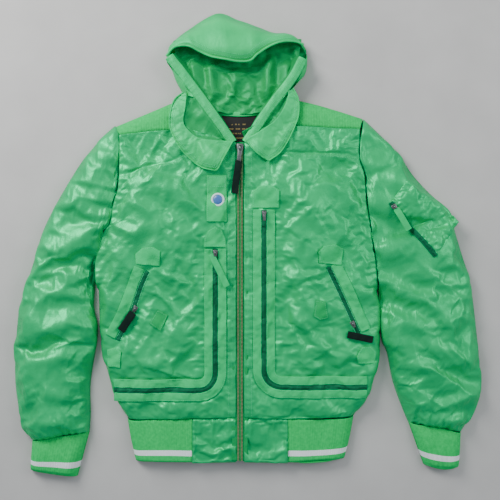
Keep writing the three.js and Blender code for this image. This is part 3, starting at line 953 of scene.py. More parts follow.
RIGHT_FRONT = FrontShape(
    side=Side.RIGHT,
    side_edge=((228, -350), (250, -316), (260, -292), (270, -254), (280, -222), (286, -150), (288, -90)),
    armhole=((288, -90), (290, -34), (274, 28), (260, 44), (254, 80), (244, 112), (242, 136), (241, 220)),
    yoke=((108, 184), (140, 167), (186, 158), (222, 144), (242, 140)),
    knit_seam=((113, 234), (142, 230), (190, 226), (241, 220)),
    knit_top=((116, 296), (134, 290), (190, 266), (252, 240)),
    band_x=49, band_top=-8, band_y=-290, band_end=252,
    hand_zip=((184, -52), (200, -90), (218, -140), (244, -190)),
    folds=(
        Fold(((110, 0), (76, -90), (56, -170), (80, -250)), 15, 6),
        Fold(((190, -80), (140, -120), (118, -160)), 9, 4),
        Fold(((96, 130), (150, 100), (230, 70)), 16, 5), Fold(((100, 60), (160, 40), (246, 10)), 14, 5),
        Fold(((120, -20), (150, -60), (170, -70)), 10, 3),
        Fold(((90, -200), (140, -230), (210, -236)), 10, 4),
        Fold(((270, -240), (258, -290), (232, -336)), 11, 4),
        Fold(((160, 140), (200, 120), (236, 118)), 10, 3),
    ),
    seed=29,
)


class Front:
    """One front of the jacket, with its shoulder knit, its woven waist and its hem rib."""

    def __init__(self, shape: FrontShape, finishes: Finishes) -> None:
        """Keeps the shape and the finishes."""
        self.shape = shape
        self.side = shape.side
        self.finishes = finishes

    def seams(self) -> list[Array]:
        """The seams that hold the front down: the yoke, both edges of the band and the hand pocket."""
        s = self.shape
        path = s.band_path()
        rows = [offset_line(path, d) for d in (-22, 22)]
        return [smooth_run(s.yoke), *rows, smooth_run(s.hand_zip)]

    def patch(self) -> Patch:
        """The front's outline, in its own side's measure."""
        s = self.shape
        edge = chain(s.side_edge, s.armhole)
        neck = chain(((ZIP_HALF, WAIST), (ZIP_HALF, 0), (ZIP_HALF, NECK_BASE)),
                     ((ZIP_HALF, NECK_BASE), s.knit_seam[0]))
        hem = smooth_run(((ZIP_HALF, WAIST), (90, WAIST - 2), s.side_edge[0]))
        return Patch(hem, smooth_run(s.knit_seam), neck, edge)

    def height(self, xy: Array, uv: Array) -> Array:
        """The front's level: folds and gathers over a flat lie, rolled down at the side."""
        s = self.shape
        level = 27.5 + 2.6 * ripple(xy, 78, s.seed, 35, 1.8) + 2.6 * creases(xy, 62, s.seed + 1, -35, 1.7)
        level += 1.3 * creases(xy, 27, s.seed + 2, 30, 1.6) + 0.5 * creases(xy, 14, s.seed + 3, -20, 1.3)
        chest = np.exp(-((xy[:, 0] - 150) / 90) ** 2 - ((xy[:, 1] - 90) / 80) ** 2)
        level += 6 * chest
        for fold in s.folds:
            level += fold.at(xy)
        for number, seam in enumerate(self.seams()):
            level += Pucker(seam, 1.3, 11, 16, 1.6 if number else 3.0).at(xy, s.seed + 30 + number)
        level += Pucker(smooth_run(s.armhole), 1.4, 12, 16, 1.2).at(xy, s.seed + 50)
        level += Pucker(((ZIP_HALF, WAIST), (ZIP_HALF, NECK_BASE)), 0.9, 9, 9, 0.3).at(xy, s.seed + 60)
        level += Pucker(((ZIP_HALF, WAIST), s.side_edge[0]), 2.2, 15, 16, 3.5).at(xy, s.seed + 70)
        by_zip = 1 - ease(xy[:, 0], ZIP_HALF, 34)
        level = level * (1 - by_zip) + (zip_level(xy[:, 1]) + 0.4 + 0.4 * (level - 27.5)) * by_zip
        by_waist = 1 - ease(xy[:, 1], WAIST, WAIST + 30)
        level = level * (1 - 0.3 * by_waist) + 0.3 * by_waist * 24
        return rounded(xy, [smooth_run(s.side_edge)], 30, 1.5, level)

    def build_shell(self) -> Piece:
        """The nylon front, which also stands for the pocket's panel."""
        word, f = self.side.word, self.finishes
        patch = self.patch()
        obj = grid_sheet("front_" + word, patch, 3.7, self.height, f.nylon)
        mirror_to(obj, self.side)
        seams = [flip(line, self.side) for line in self.seams()]
        settle(obj, seam_pins(obj, seams, 3.5), Slack(0.07))
        lay(obj, patch, ["back_" + word], 0.6, spare=0.07, rolls=[Roll(self.shape.side_edge, 30, 25)])
        return finish_piece(obj, "jacket", "shell_nylon", f"front_panel_{word}", f"pocket_panel_{word}",
                            f"side_panel_{word}")

    def build_stitches(self, shell: Piece) -> None:
        """The rows of stitches beside the front zip and along the yoke."""
        felt = Ground([shell], 26)
        rows = []
        for x in (16, 23):
            line = np.column_stack([np.full(150, x * self.side.value),
                                    np.linspace(WAIST + 4, NECK_BASE - 8, 150)])
            rows.append(felt.row(line))
        for shift in (-3, -6.5):
            line = offset_line(along(smooth_run(self.shape.yoke), np.linspace(0.02, 0.98, 60)), shift)
            line = flip(line, self.side)
            rows.append(felt.row(line))
        sewn = Stitch(2.4, 1.2, 0.5).sew("front_stitches_" + self.side.word, rows, self.finishes.thread)
        finish_piece(sewn, "jacket", "shell_nylon")

    def build_knit(self) -> None:
        """The ribbed shoulder panel."""
        s, word = self.shape, self.side.word
        patch = Patch(smooth_run(s.knit_seam), smooth_run(s.knit_top),
                      smooth_run((s.knit_seam[0], s.knit_top[0])),
                      smooth_run((s.knit_seam[-1], s.knit_top[-1])))

        def height(xy: Array, uv: Array) -> Array:
            """The level at each point, in millimetres."""
            ribs = 0.55 * np.sin(2 * math.pi * xy[:, 0] / 5.2 + 0.6 * ripple(xy, 60, 3))
            level = 26 + ribs + 1.2 * ripple(xy, 60, s.seed + 5)
            level += Pucker(smooth_run(s.knit_seam), 0.3, 12, 8, 2).at(xy, 3)
            return rounded(xy, [smooth_run(s.knit_top)], 30, 3, level)

        obj = grid_sheet("knit_" + word, patch, 1.7, height, self.finishes.knit)
        lay(obj, patch, ["back_" + word], 1.4, levels=0, side=self.side, spare=0.04,
            rolls=[Roll(s.knit_top, 30, 23)])
        finish_piece(obj, "jacket", "rib_knit", f"shoulder_knit_{word}")

    def build_waist(self) -> None:
        """The woven front of the waistband and the ribbed hem beside it."""
        s, word, f = self.shape, self.side.word, self.finishes
        start = 96
        hem_end = (212, HEM + (8 if self.side is Side.LEFT else 2))
        waist_end = s.side_edge[0]
        woven = Patch(
            smooth_run(((ZIP_HALF, HEM), (start, HEM - 2))),
            smooth_run(((ZIP_HALF, WAIST - 1), (start, WAIST - 3))),
            smooth_run(((ZIP_HALF, HEM), (ZIP_HALF, WAIST))),
            smooth_run(((start, HEM - 2), (start, WAIST - 3))),
        )

        def woven_height(xy: Array, uv: Array) -> Array:
            """The level at each point, in millimetres."""
            level = zip_level(xy[:, 1]) - 1 + 1.5 * ripple(xy, 42, s.seed + 8, 90, 1.4)
            level += Pucker(((ZIP_HALF, WAIST - 2), (start, WAIST - 3)), 1.6, 14, 14, 2.4).at(xy, s.seed + 80)
            level += Pucker(((start, HEM), (start, WAIST)), 1.2, 12, 10, 1.5).at(xy, s.seed + 81)
            return rounded(xy, [((ZIP_HALF, HEM), (start, HEM - 2))], 7, 16, level)

        obj = grid_sheet("waist_" + word, woven, 3.2, woven_height, f.nylon)
        lay(obj, woven, ["back_" + word], 0.8, side=self.side, slack=Slack(0.08, 14, 0.5, 6), spare=0.08)
        finish_piece(obj, "jacket", "shell_nylon", f"waist_front_{word}")

        rib = Patch(
            smooth_run(((start, HEM), (150, HEM + 2), hem_end)),
            smooth_run(((start, WAIST - 3), (160, WAIST - 4), (waist_end[0], waist_end[1] - 3))),
            smooth_run(((start, HEM), (start, WAIST - 3))),
            smooth_run((hem_end, (222, HEM / 2 + WAIST / 2), (waist_end[0], waist_end[1] - 3))),
        )

        free_end = smooth_run((hem_end, (222, HEM / 2 + WAIST / 2), waist_end))

        def rib_height(xy: Array, uv: Array) -> Array:
            """The ribs' level at each point."""
            run = uv[:, 0] * 128
            ribs = 0.8 * np.sin(2 * math.pi * run / 4.6)
            level = 24 + ribs + 1.4 * ripple(xy, 70, s.seed + 9, 0, 2)
            level += Pucker(((start, WAIST - 3), waist_end), 1.4, 18, 18, 1.5).at(xy, s.seed + 82)
            return rounded(xy, [free_end], 22, 1.5, rounded(xy, [((start, HEM), hem_end)], 6, 14, level))

        obj = grid_sheet("hem_rib_" + word, rib, 1.6, rib_height, f.hem_rib)
        lay(obj, rib, ["back_" + word], 1.6, levels=0, side=self.side, spare=0.05,
            rolls=[Roll(free_end, 22, 22)])
        finish_piece(obj, "jacket", "rib_knit", f"waist_rib_{word}")

    def build_back(self) -> None:
        """The half of the back that lies on the floor under this front."""
        s, word = self.shape, self.side.word
        edge = chain(s.side_edge, s.armhole, (s.armhole[-1], s.knit_top[-1]))
        top = chain(((0, 301), (100, 301), s.knit_top[0]), s.knit_top)
        patch = Patch(smooth_run(((0, HEM), (110, HEM), (212, HEM + 4))), top,
                      smooth_run(((0, HEM), (0, 0), (0, 301))), chain(((212, HEM + 4), s.side_edge[0]), edge))

        def height(xy: Array, uv: Array) -> Array:
            """The level at each point, in millimetres."""
            return 1.6 + 0.5 * ripple(xy, 60, s.seed + 12)

        # The lining finish's darker green is painted shade where the back shows in gaps.
        obj = grid_sheet("back_" + word, patch, 9, height, self.finishes.lining)
        lay(obj, patch, ["floor"], 0.8, side=self.side)
        nodes = ["back_panel", "waist_rib_back"] if self.side is Side.LEFT else []
        finish_piece(obj, "jacket", "shell_nylon", *nodes)


def mirror_to(obj: Piece, side: Side) -> None:
    """Turns a piece made in its side's own measure over to that side of the jacket."""
    if side is Side.RIGHT:
        place_vertices(obj, coordinates(obj) * [-1, 1, 1])
        outward(obj)


def offset_line(path: Array, distance: float) -> Array:
    """A line moved sideways, to the left of its own heading."""
    way = np.gradient(path, axis=0)
    way /= np.maximum(np.hypot(*way.T)[:, None], 1e-9)
    return path + np.column_stack([-way[:, 1], way[:, 0]]) * distance


def between(bottom: Array, top: Array) -> Patch:
    """The patch between two lines, with straight ends."""
    return Patch(bottom, top, np.array([bottom[0], top[0]]), np.array([bottom[-1], top[-1]]))


def ribbon_patch(path: Array, low: float, high: float) -> Patch:
    """The strip between two offsets of a path."""
    a, b = offset_line(path, low), offset_line(path, high)
    return between(a, b)


def tape(name: str, path: Array, low: float, high: float, ground: Ground, material: Finish,
         lift: float = 0.8, cell: float = 3, waves: float = 0.4, seed: int = 1) -> Piece:
    """A strip of webbing sewn along a path on the cloth.

    Args:
        name: The piece's name.
        path: The path in the jacket's frame.
        low: The strip's right edge, as an offset from the path.
        high: Its left edge.
        ground: The cloth under it.
        material: The finish.
        lift: Its height over the cloth.
        cell: The grid's cell.
        waves: How much it ripples by itself.
        seed: Which ripples.

    Returns:
        The strip.
    """
    patch = ribbon_patch(path, low, high)

    def height(xy: Array, uv: Array) -> Array:
        """The level at each point, in millimetres."""
        edge = np.minimum(uv[:, 1], 1 - uv[:, 1])
        return ground.over(xy, 4) + lift + waves * ripple(xy, 22, seed) + 0.5 * ease(edge, 0, 0.25)

    obj = grid_sheet(name, patch, cell, height, material)
    lay(obj, patch, ground.under(path), 1.2)
    return obj


def patch_on(name: str, outline: Points, ground: Ground, material: Finish, lift: float = 1.6,
             thickness: float = 1.4) -> Piece:
    """A cut patch laid on the cloth, following it.

    Args:
        name: The piece's name.
        outline: Its corners, in order round it.
        ground: The cloth under it.
        material: The finish.
        lift: Its top's height over the cloth.
        thickness: How thick it is.

    Returns:
        The patch.
    """
    points = np.array(outline, float)
    bm = bmesh.new()
    face = bm.faces.new([bm.verts.new((x, y, 0)) for x, y in points])
    low, high = points.min(0), points.max(0)
    for axis, normal in ((0, (1, 0, 0)), (1, (0, 1, 0))):
        for cut in np.arange(low[axis] + 3, high[axis], 4):
            at = [0.0, 0.0, 0.0]
            at[axis] = cut
            geom = [*bm.verts, *bm.edges, *bm.faces]
            bmesh.ops.bisect_plane(bm, geom=geom, plane_co=at, plane_no=normal, dist=1e-4)
    obj = object_from(name, bm, material)
    co = coordinates(obj)
    z = ground.over(co[:, :2], 3) + lift
    place_vertices(obj, np.column_stack([co[:, :2], z]) * MM)
    outward(obj)
    add_modifier(obj, "SOLIDIFY", thickness=thickness * MM, offset=-1)
    add_modifier(obj, "BEVEL", width=0.4 * MM, segments=2)
    return obj


# ---------------------------------------------------------------- sleeves


@dataclass(frozen=True)
class SleeveShape:
    """The outlines and folds of one sleeve, with X measured towards its own side."""

    side: Side
    armhole: Points
    outer: Points
    inner: Points
    wrist_band: Points
    cuff_end: Points
    folds: Sequence[Fold]
    seed: int


LEFT_SLEEVE = SleeveShape(
    side=Side.LEFT,
    armhole=((250, 257), (242, 218), (240, 172), (250, 140), (256, 80), (265, 20), (274, -40), (281, -94)),
    outer=((250, 257), (318, 190), (348, 146), (380, 110), (422, 68), (440, 16), (454, -30), (468, -76),
           (480, -170), (486, -244), (480, -308), (466, -350), (448, -380)),
    inner=((281, -94), (286, -186), (298, -218), (310, -276), (330, -332), (342, -360)),
    wrist_band=((342, -360), (396, -366), (448, -380)),
    cuff_end=((372, -444), (410, -452), (444, -448)),
    folds=(
        Fold(((262, 160), (330, 120), (400, 70)), 18, 6), Fold(((268, 60), (300, 0), (330, -60)), 16, 5),
        Fold(((470, -120), (420, -160), (330, -160)), 16, 7),
        Fold(((476, -210), (420, -236), (320, -250)), 14, 6),
        Fold(((476, -290), (430, -310), (340, -320)), 12, 6),
        Fold(((300, -90), (350, -110), (400, -90)), 14, 5),
        Fold(((440, -20), (400, -60), (380, -130)), 14, 5),
        Fold(((460, -350), (410, -346), (352, -350)), 9, 4),
    ),
    seed=51,
)
RIGHT_SLEEVE = SleeveShape(
    side=Side.RIGHT,
    armhole=((254, 243), (242, 218), (244, 136), (246, 112), (256, 80), (262, 42), (276, 26), (289, -34)),
    outer=((254, 243), (284, 216), (298, 198), (320, 172), (352, 122), (382, 68), (404, 20), (424, -48),
           (444, -110), (452, -148), (458, -244), (454, -308), (442, -364), (422, -396)),
    inner=((289, -34), (297, -110), (296, -134), (289, -180), (304, -276), (304, -340), (306, -378)),
    wrist_band=((306, -378), (360, -384), (422, -396)),
    cuff_end=((330, -468), (376, -462), (426, -454)),
    folds=(
        Fold(((404, 20), (362, -42), (338, -96)), 13, 9), Fold(((262, 150), (310, 110), (370, 60)), 18, 6),
        Fold(((280, 60), (330, 10), (392, -20)), 16, 5), Fold(((440, -130), (390, -160), (312, -170)), 18, 7),
        Fold(((452, -210), (400, -230), (316, -220)), 14, 6),
        Fold(((450, -300), (400, -290), (316, -310)), 14, 6),
        Fold(((440, -364), (380, -350), (320, -360)), 10, 4),
        Fold(((420, -60), (380, -100), (300, -110)), 12, 5),
    ),
    seed=71,
)


class Sleeve:
    """One sleeve: its upper cloth, the cloth under it and its knit cuff."""

    def __init__(self, shape: SleeveShape, finishes: Finishes) -> None:
        """Keeps the shape and the finishes."""
        self.shape = shape
        self.side = shape.side
        self.finishes = finishes

    def patch(self) -> Patch:
        """The sleeve's outline: across from the outer to the inner edge, down from armhole to wrist."""
        s = self.shape
        return Patch(smooth_run(s.armhole), smooth_run(s.wrist_band[::-1]), smooth_run(s.outer),
                     smooth_run(s.inner))

    def height(self, xy: Array, uv: Array) -> Array:
        """The upper cloth's level."""
        s = self.shape
        level = 33 + 2.6 * ripple(xy, 70, s.seed, 70, 1.6) + 3.2 * creases(xy, 60, s.seed + 1, 65, 1.7)
        level += 1.6 * creases(xy, 28, s.seed + 2, 100, 1.6) + 0.5 * creases(xy, 15, s.seed + 3, 40, 1.4)
        for fold in s.folds:
            level += fold.at(xy)
        gap, _ = near(smooth_run(s.armhole), xy)
        level -= 7 * np.exp(-gap / 26)
        level += Pucker(smooth_run(s.armhole), 1.6, 12, 18, 1.2).at(xy, s.seed + 4)
        level += Pucker(smooth_run(s.wrist_band), 2.4, 13, 24, 5).at(xy, s.seed + 6)
        gap, _ = near(smooth_run(s.wrist_band), xy)
        level -= 8 * np.exp(-gap / 14)
        return rounded(xy, [smooth_run(s.outer), smooth_run(s.inner)], 34, 2, level)

    def build(self) -> Piece:
        """The upper and the under cloth of the sleeve."""
        s, word, f = self.shape, self.side.word, self.finishes
        patch = self.patch()
        upper = grid_sheet("sleeve_top_" + word, patch, 4.2, self.height, f.nylon)
        mirror_to(upper, self.side)
        settle(upper, edge_pins(upper), Slack(0.08, 16, 1.0, 10))
        thicken(upper, 0.6)
        declare(patch, 0.08,
                [Roll(smooth_run(s.outer), 34, 25), Roll(smooth_run(s.inner), 34, 25)])

        def low(xy: Array, uv: Array) -> Array:
            """The under side's level at each point."""
            return 1.4 + 0.6 * ripple(xy, 50, s.seed + 7)

        under = grid_sheet("sleeve_base_" + word, patch, 9, low, f.nylon)
        lay(under, patch, ["floor"], 0.6, side=self.side)
        for obj in (upper, under):
            self.bend(obj)
        finish_piece(upper, None, "shell_nylon", "sleeve_upper_" + word)
        finish_piece(under, None, "shell_nylon", "sleeve_under_" + word)
        return upper

    def bend(self, obj: Piece) -> None:
        """Bakes a sleeve cloth's placement into its mesh."""
        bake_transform(obj)

    def build_cuff(self) -> None:
        """The knit cuff, as a flattened tube of ribs."""
        s, word = self.shape, self.side.word
        wrist = smooth_run(s.wrist_band)
        end = smooth_run(s.cuff_end)
        patch = between(end, wrist)
        free = [np.array([end[0], wrist[0]]), np.array([end[-1], wrist[-1]])]

        def top(xy: Array, uv: Array) -> Array:
            """The upper side's level at each point."""
            ribs = 0.8 * np.sin(2 * math.pi * uv[:, 0] * 22)
            swell = 22 + 4 * np.sin(math.pi * uv[:, 1]) + ribs + 1.2 * ripple(xy, 50, s.seed + 8)
            mouth = ease(uv[:, 1], 0, 0.1)
            return rounded(xy, free, 24, 2.5, 17 + (swell - 17) * mouth)

        def bottom(xy: Array, uv: Array) -> Array:
            """The under side's level at each point."""
            return 2.2 + 0.5 * np.sin(2 * math.pi * uv[:, 0] * 22)

        for name, height, nodes in (("cuff_top_", top, ["cuff_" + word]), ("cuff_base_", bottom, [])):
            obj = grid_sheet(name + word, patch, 1.7, height, self.finishes.cuff_rib)
            mirror_to(obj, self.side)
            thicken(obj, 1.6, 0)
            on_top = name == "cuff_top_"
            declare(patch, 0.05,
                    [Roll(edge, 24, 22) for edge in free] if on_top else [])
            finish_piece(obj, "sleeve_" + word, "rib_knit", *nodes)


class SleevePocket:
    """The slanted zip pocket on the left sleeve."""

    start = (298, 84)
    end = (386, -22)
    far = (436, 46)
    top = (330, 128)

    def __init__(self, finishes: Finishes, ground: Ground) -> None:
        """Keeps the finishes and the sleeve's cloth."""
        self.finishes = finishes
        self.ground = ground

    def build(self) -> None:
        """The patch of gathered nylon, the zip, its slider and its pull."""
        f, ground = self.finishes, self.ground
        bottom = smooth_run((self.start, self.end))
        top = smooth_run((self.top, (388, 92), self.far))
        patch = between(bottom, top)
        outline = patch.outline()

        def height(xy: Array, uv: Array) -> Array:
            """The level at each point, in millimetres."""
            level = ground.over(xy, 5) + 1.6 + 1.6 * ripple(xy, 22, 5, 40, 1.3)
            level += Pucker(np.vstack([outline, outline[:1]]), 1.5, 10, 14, 2.2).at(xy, 6)
            edge = np.minimum(np.minimum(uv[:, 0], 1 - uv[:, 0]), np.minimum(uv[:, 1], 1 - uv[:, 1]))
            return level + 1.2 * ease(edge, 0, 0.2)

        cloth = grid_sheet("sleeve_pocket_cloth", patch, 3, height, f.nylon)
        lay(cloth, patch, ["sleeve_top_left"], 0.8, slack=Slack(0.1, 14, 0.6, 4), spare=0.1)
        finish_piece(cloth, "sleeve_left", "shell_nylon", "sleeve_pocket")
        line = along(np.array([self.start, self.end], float), np.linspace(0, 1, 40))
        felt = Ground([cloth], 34)
        zipper = small_zip("sleeve_zip_line", line, 4.5, Ground([*ground.sheets, cloth], 34), f)
        finish_piece(zipper, "sleeve_left", "zip_brass", "sleeve_zip")
        z = float(felt.over(np.array([self.start], float) + [8, -8], 6)[0])
        lean = 39.8
        slider = build_slider("sleeve_slider_body", (302, 79), z + 1.5, 10, 14, lean, f.steel)
        finish_piece(slider, "sleeve_slider", "slider_metal", "sleeve_slider")
        pull = webbing_pull("sleeve_pull_strap", (308, 72), z + 5, 13, 50, lean - 8, f.webbing,
                            "sleeve_slider_body")
        finish_piece(pull, "sleeve_pull", "webbing", "sleeve_pull")


# ---------------------------------------------------------------- zips


def small_zip(name: str, line: Array, half: float, ground: Ground, f: Finishes) -> Piece:
    """A narrow zip let into the cloth: a dark coil with fine cross ribs.

    Args:
        name: The piece's name.
        line: The zip's middle line.
        half: Half its width.
        ground: The cloth under it.
        f: The finishes.

    Returns:
        The zip.
    """
    patch = ribbon_patch(line, -half, half)

    def height(xy: Array, uv: Array) -> Array:
        """The level at each point, in millimetres."""
        coil = np.exp(-((uv[:, 1] - 0.5) / 0.2) ** 2)
        run = uv[:, 0] * length_of(line)
        return ground.over(xy, 3) + 0.7 + 1.3 * coil + 0.5 * coil * np.sin(2 * math.pi * run / 2.4)

    obj = grid_sheet(name, patch, 1.1, height, f.coil)
    lay(obj, patch, ground.under(line), 0.9, levels=0)
    return obj


def build_slider(name: str, at: Sequence[float], z: float, width: float, length: float, lean: float,
                 material: Finish) -> Piece:
    """A zip slider: a waisted body with a raised bridge over it.

    Args:
        name: The piece's name.
        at: The middle of its upper end.
        z: The level of its underside.
        width: Its width at the shoulders.
        length: Its length.
        lean: The direction that it points in, from -Y towards +X.
        material: The finish.

    Returns:
        The slider.
    """
    turn = Matrix.Translation((at[0] * MM, at[1] * MM, z * MM)) @ Matrix.Rotation(math.radians(lean), 4, "Z")
    bm = bmesh.new()
    half = width / 2
    rim = [(-half, 0), (-half, -length * 0.35), (-half * 0.72, -length * 0.7), (-half * 0.62, -length),
           (half * 0.62, -length), (half * 0.72, -length * 0.7), (half, -length * 0.35), (half, 0)]
    face = bm.faces.new([bm.verts.new((x * MM, y * MM, 0)) for x, y in rim])
    lifted = bmesh.ops.extrude_face_region(bm, geom=[face])["geom"]
    tops = [g for g in lifted if isinstance(g, bmesh.types.BMVert)]
    bmesh.ops.translate(bm, verts=tops, vec=(0, 0, 2.6 * MM))
    bmesh.ops.bevel(bm, geom=list(bm.edges), offset=0.5 * MM, segments=2, affect="EDGES", profile=0.5,
                    material=-1)
    profile = [bm.verts.new((x * width * 0.14 * MM, -length * 0.12 * MM, 2.4 * MM)) for x in (-1, 1)]
    profile += [bm.verts.new((x * width * 0.14 * MM, -length * 0.2 * MM, 2.4 * MM)) for x in (1, -1)]
    tab = bm.faces.new(profile)
    bmesh.ops.spin(bm, geom=[tab], cent=(0, -length * 0.42 * MM, 2.4 * MM), axis=(1, 0, 0), angle=math.pi,
                   steps=8)
    bmesh.ops.recalc_face_normals(bm, faces=bm.faces)
    bmesh.ops.transform(bm, matrix=turn, verts=bm.verts)
    return object_from(name, bm, material)


def webbing_pull(name: str, at: Sequence[float], z: float, width: float, length: float, lean: float,
                 material: Finish, hangs_from: str) -> Piece:
    """A short strap on a slider, with a slight curl and a stitched end.

    Args:
        name: The piece's name.
        at: The middle of its upper end.
        z: Its level there.
        width: Its width.
        length: Its length.
        lean: Its direction, from -Y towards +X.
        material: The finish.
        hangs_from: The slider that it is on.

    Returns:
        The strap.
    """
    angle = math.radians(lean)
    way = np.array([math.sin(angle), -math.cos(angle)])
    path = np.array([np.array(at) + way * length * t for t in np.linspace(0, 1, 16)])
    patch = ribbon_patch(path, -width / 2, width / 2)

    def height(xy: Array, uv: Array) -> Array:
        """The level at each point, in millimetres."""
        edge = np.minimum(uv[:, 1], 1 - uv[:, 1])
        return z + 1.2 * np.sin(uv[:, 0] * 5) + 0.5 * ease(edge, 0, 0.2) + 0.4 * ripple(xy, 18, 2)

    obj = grid_sheet(name, patch, 2, height, material)
    lay(obj, patch, [hangs_from], 1.3)
    return obj


class FrontZip:
    """The long front zip: tapes, teeth, slider, puller and ribbon."""

    pitch = 2.7

    def __init__(self, finishes: Finishes) -> None:
        """Keeps the finishes."""
        self.finishes = finishes

    def build(self) -> None:
        """Both halves of the chain, and what rides on it."""
        f = self.finishes
        low, high = HEM + 6, NECK_BASE
        for side in Side:
            line = np.column_stack([np.full(90, side.value * 8.2), np.linspace(high, low, 90)])
            patch = ribbon_patch(line, -8, 8)

            def height(xy: Array, uv: Array) -> Array:
                """The level at each point, in millimetres."""
                return zip_level(xy[:, 1]) - 0.9 + 0.8 * np.exp(-(np.abs(xy[:, 0]) / 2.2) ** 2)

            strip = grid_sheet("zip_tape_" + side.word, patch, 2.6, height, f.tape)
            lay(strip, patch, ["back_" + side.word], 0.8, levels=0)
            finish_piece(strip, "jacket", "zip_green", "zip_chain_" + side.word)
            bm = bmesh.new()
            for number, y in enumerate(np.arange(low + 2, high - 2, self.pitch)):
                z = float(zip_level(np.array([y]))[0]) + 0.5
                shift = side.value * (3.4 + 0.25 * (number % 2))
                size = Matrix.Diagonal((4.0 * MM, 1.5 * MM, 1.7 * MM, 1))
                bmesh.ops.create_cube(bm, size=1, matrix=Matrix.Translation((shift * MM, y * MM,
                                                                             z * MM)) @ size)
            teeth = object_from("zip_teeth_" + side.word, bm, f.brass, False)
            add_modifier(teeth, "BEVEL", width=0.25 * MM, segments=1)
            finish_piece(teeth, "jacket", "zip_brass")
        z = float(zip_level(np.array([190.0]))[0]) + 2.2
        slider = build_slider("front_slider", (0, 202), z, 13, 22, 0, f.steel)
        finish_piece(slider, "zip_slider", "slider_metal", "zip_slider")
        ring = plate("front_puller", strip_outline(0, 190, 8, 26, -6), z + 4.4, z + 6, f.steel, 0.6)
        finish_piece(ring, "zip_pull", "slider_metal", "zip_pull")
        ribbon = webbing_pull("front_ribbon", (-2, 168), z + 5.4, 14, 66, -8, f.ribbon, "front_slider")
        finish_piece(ribbon, "zip_pull", "ribbon_black", "zip_ribbon")


# ---------------------------------------------------------------- trims on the fronts


class Pockets:
    """The bands, zips and stitches of one front's two pockets."""

    def __init__(self, shape: FrontShape, finishes: Finishes, ground: Ground) -> None:
        """Keeps the front's shape, the finishes and the front's cloth."""
        self.shape = shape
        self.side = shape.side
        self.finishes = finishes
        self.ground = ground

    def place(self, points: Points) -> Array:
        """Points of this side's measure, in the jacket's frame."""
        return flip(points, self.side)

    def band(self) -> None:
        """The two strips of the L-shaped band, the zip between them and their stitches."""
        s, word, f = self.shape, self.side.word, self.finishes
        path = self.place(s.band_path())
        rows = []
        parts = {"inner": (5, 22), "outer": (-22, -5)}
        for number, (part, (low, high)) in enumerate(parts.items()):
            strip = tape(f"band_{part}_{word}", path, low, high, self.ground, f.webbing, 1.0, 3, 0.5,
                         s.seed + number)
            nodes = ["pocket_band_" + word] if part == "inner" else []
            finish_piece(strip, "jacket", "webbing", *nodes)
            felt = Ground([strip], 30)
            for at in (low + 1.6, high - 1.6):
                line = along(offset_line(path, at), np.linspace(0.004, 0.996, 110))
                rows.append(felt.row(line))
        groove = small_zip("band_zip_" + word, path, 5.2, self.ground, f)
        finish_piece(groove, "jacket", "zip_green")
        stitches = Stitch().sew("band_stitches_" + word, rows, f.thread)
        finish_piece(stitches, "jacket", "webbing")

    def hand(self) -> None:
        """The slanted hand pocket: zip, band and stitches."""
        s, word, f = self.shape, self.side.word, self.finishes
        line = self.place(along(smooth_run(s.hand_zip), np.linspace(0, 1, 40)))
        coil = small_zip("hand_coil_" + word, line, 3.4, self.ground, f)
        finish_piece(coil, "jacket", "zip_brass", "hand_zip_" + word)
        aside = (6, 27) if self.side is Side.LEFT else (-27, -6)
        band = tape("hand_strip_" + word, line, *aside, self.ground, f.webbing, 1.4, 3, 0.7, s.seed + 40)
        finish_piece(band, "jacket", "webbing", "hand_band_" + word)
        rows = []
        for at in (-4.6, 4.6):
            row = along(offset_line(line, at), np.linspace(0.02, 0.98, 60))
            rows.append(self.ground.row(row, 1.1, 3))
        finish_piece(Stitch(2.8, 0.5, 1.1).sew("hand_stitches_" + word, rows, f.thread), "jacket", "webbing")


@dataclass(frozen=True)
class TrimSet:
    """The outlines of one side's small patches and ribbons, in the jacket's frame."""

    band_cap: Points
    hand_cap: Points
    lower_cap: Points
    small: Points
    ribbon_at: tuple[float, float]
    ribbon_size: Triple
    slider_at: tuple[float, float]
    slider_lean: float


LEFT_TRIM = TrimSet(
    band_cap=((24, 74), (78, 74), (78, 108), (64, 118), (38, 118), (24, 106)),
    hand_cap=((158, -36), (202, -40), (206, -8), (188, 2), (166, -2), (156, -14)),
    lower_cap=((236, -238), (270, -236), (273, -214), (262, -202), (243, -204), (232, -222)),
    small=((146, -142), (160, -150), (176, -146), (170, -112), (152, -108)),
    ribbon_at=(214, -178), ribbon_size=(14, 52, 78), slider_at=(222, -152), slider_lean=26,
)
RIGHT_TRIM = TrimSet(
    band_cap=((-72, -4), (-28, -4), (-29, 12), (-36, 30), (-50, 37), (-64, 28), (-71, 12)),
    hand_cap=((-206, -38), (-160, -42), (-158, -12), (-172, -4), (-194, -6), (-208, -18)),
    lower_cap=((-264, -242), (-238, -244), (-236, -212), (-248, -204), (-265, -208)),
    small=((-164, -128), (-144, -140), (-158, -172), (-180, -156)),
    ribbon_at=(-212, -134), ribbon_size=(16, 44, -34), slider_at=(-206, -122), slider_lean=-30,
)


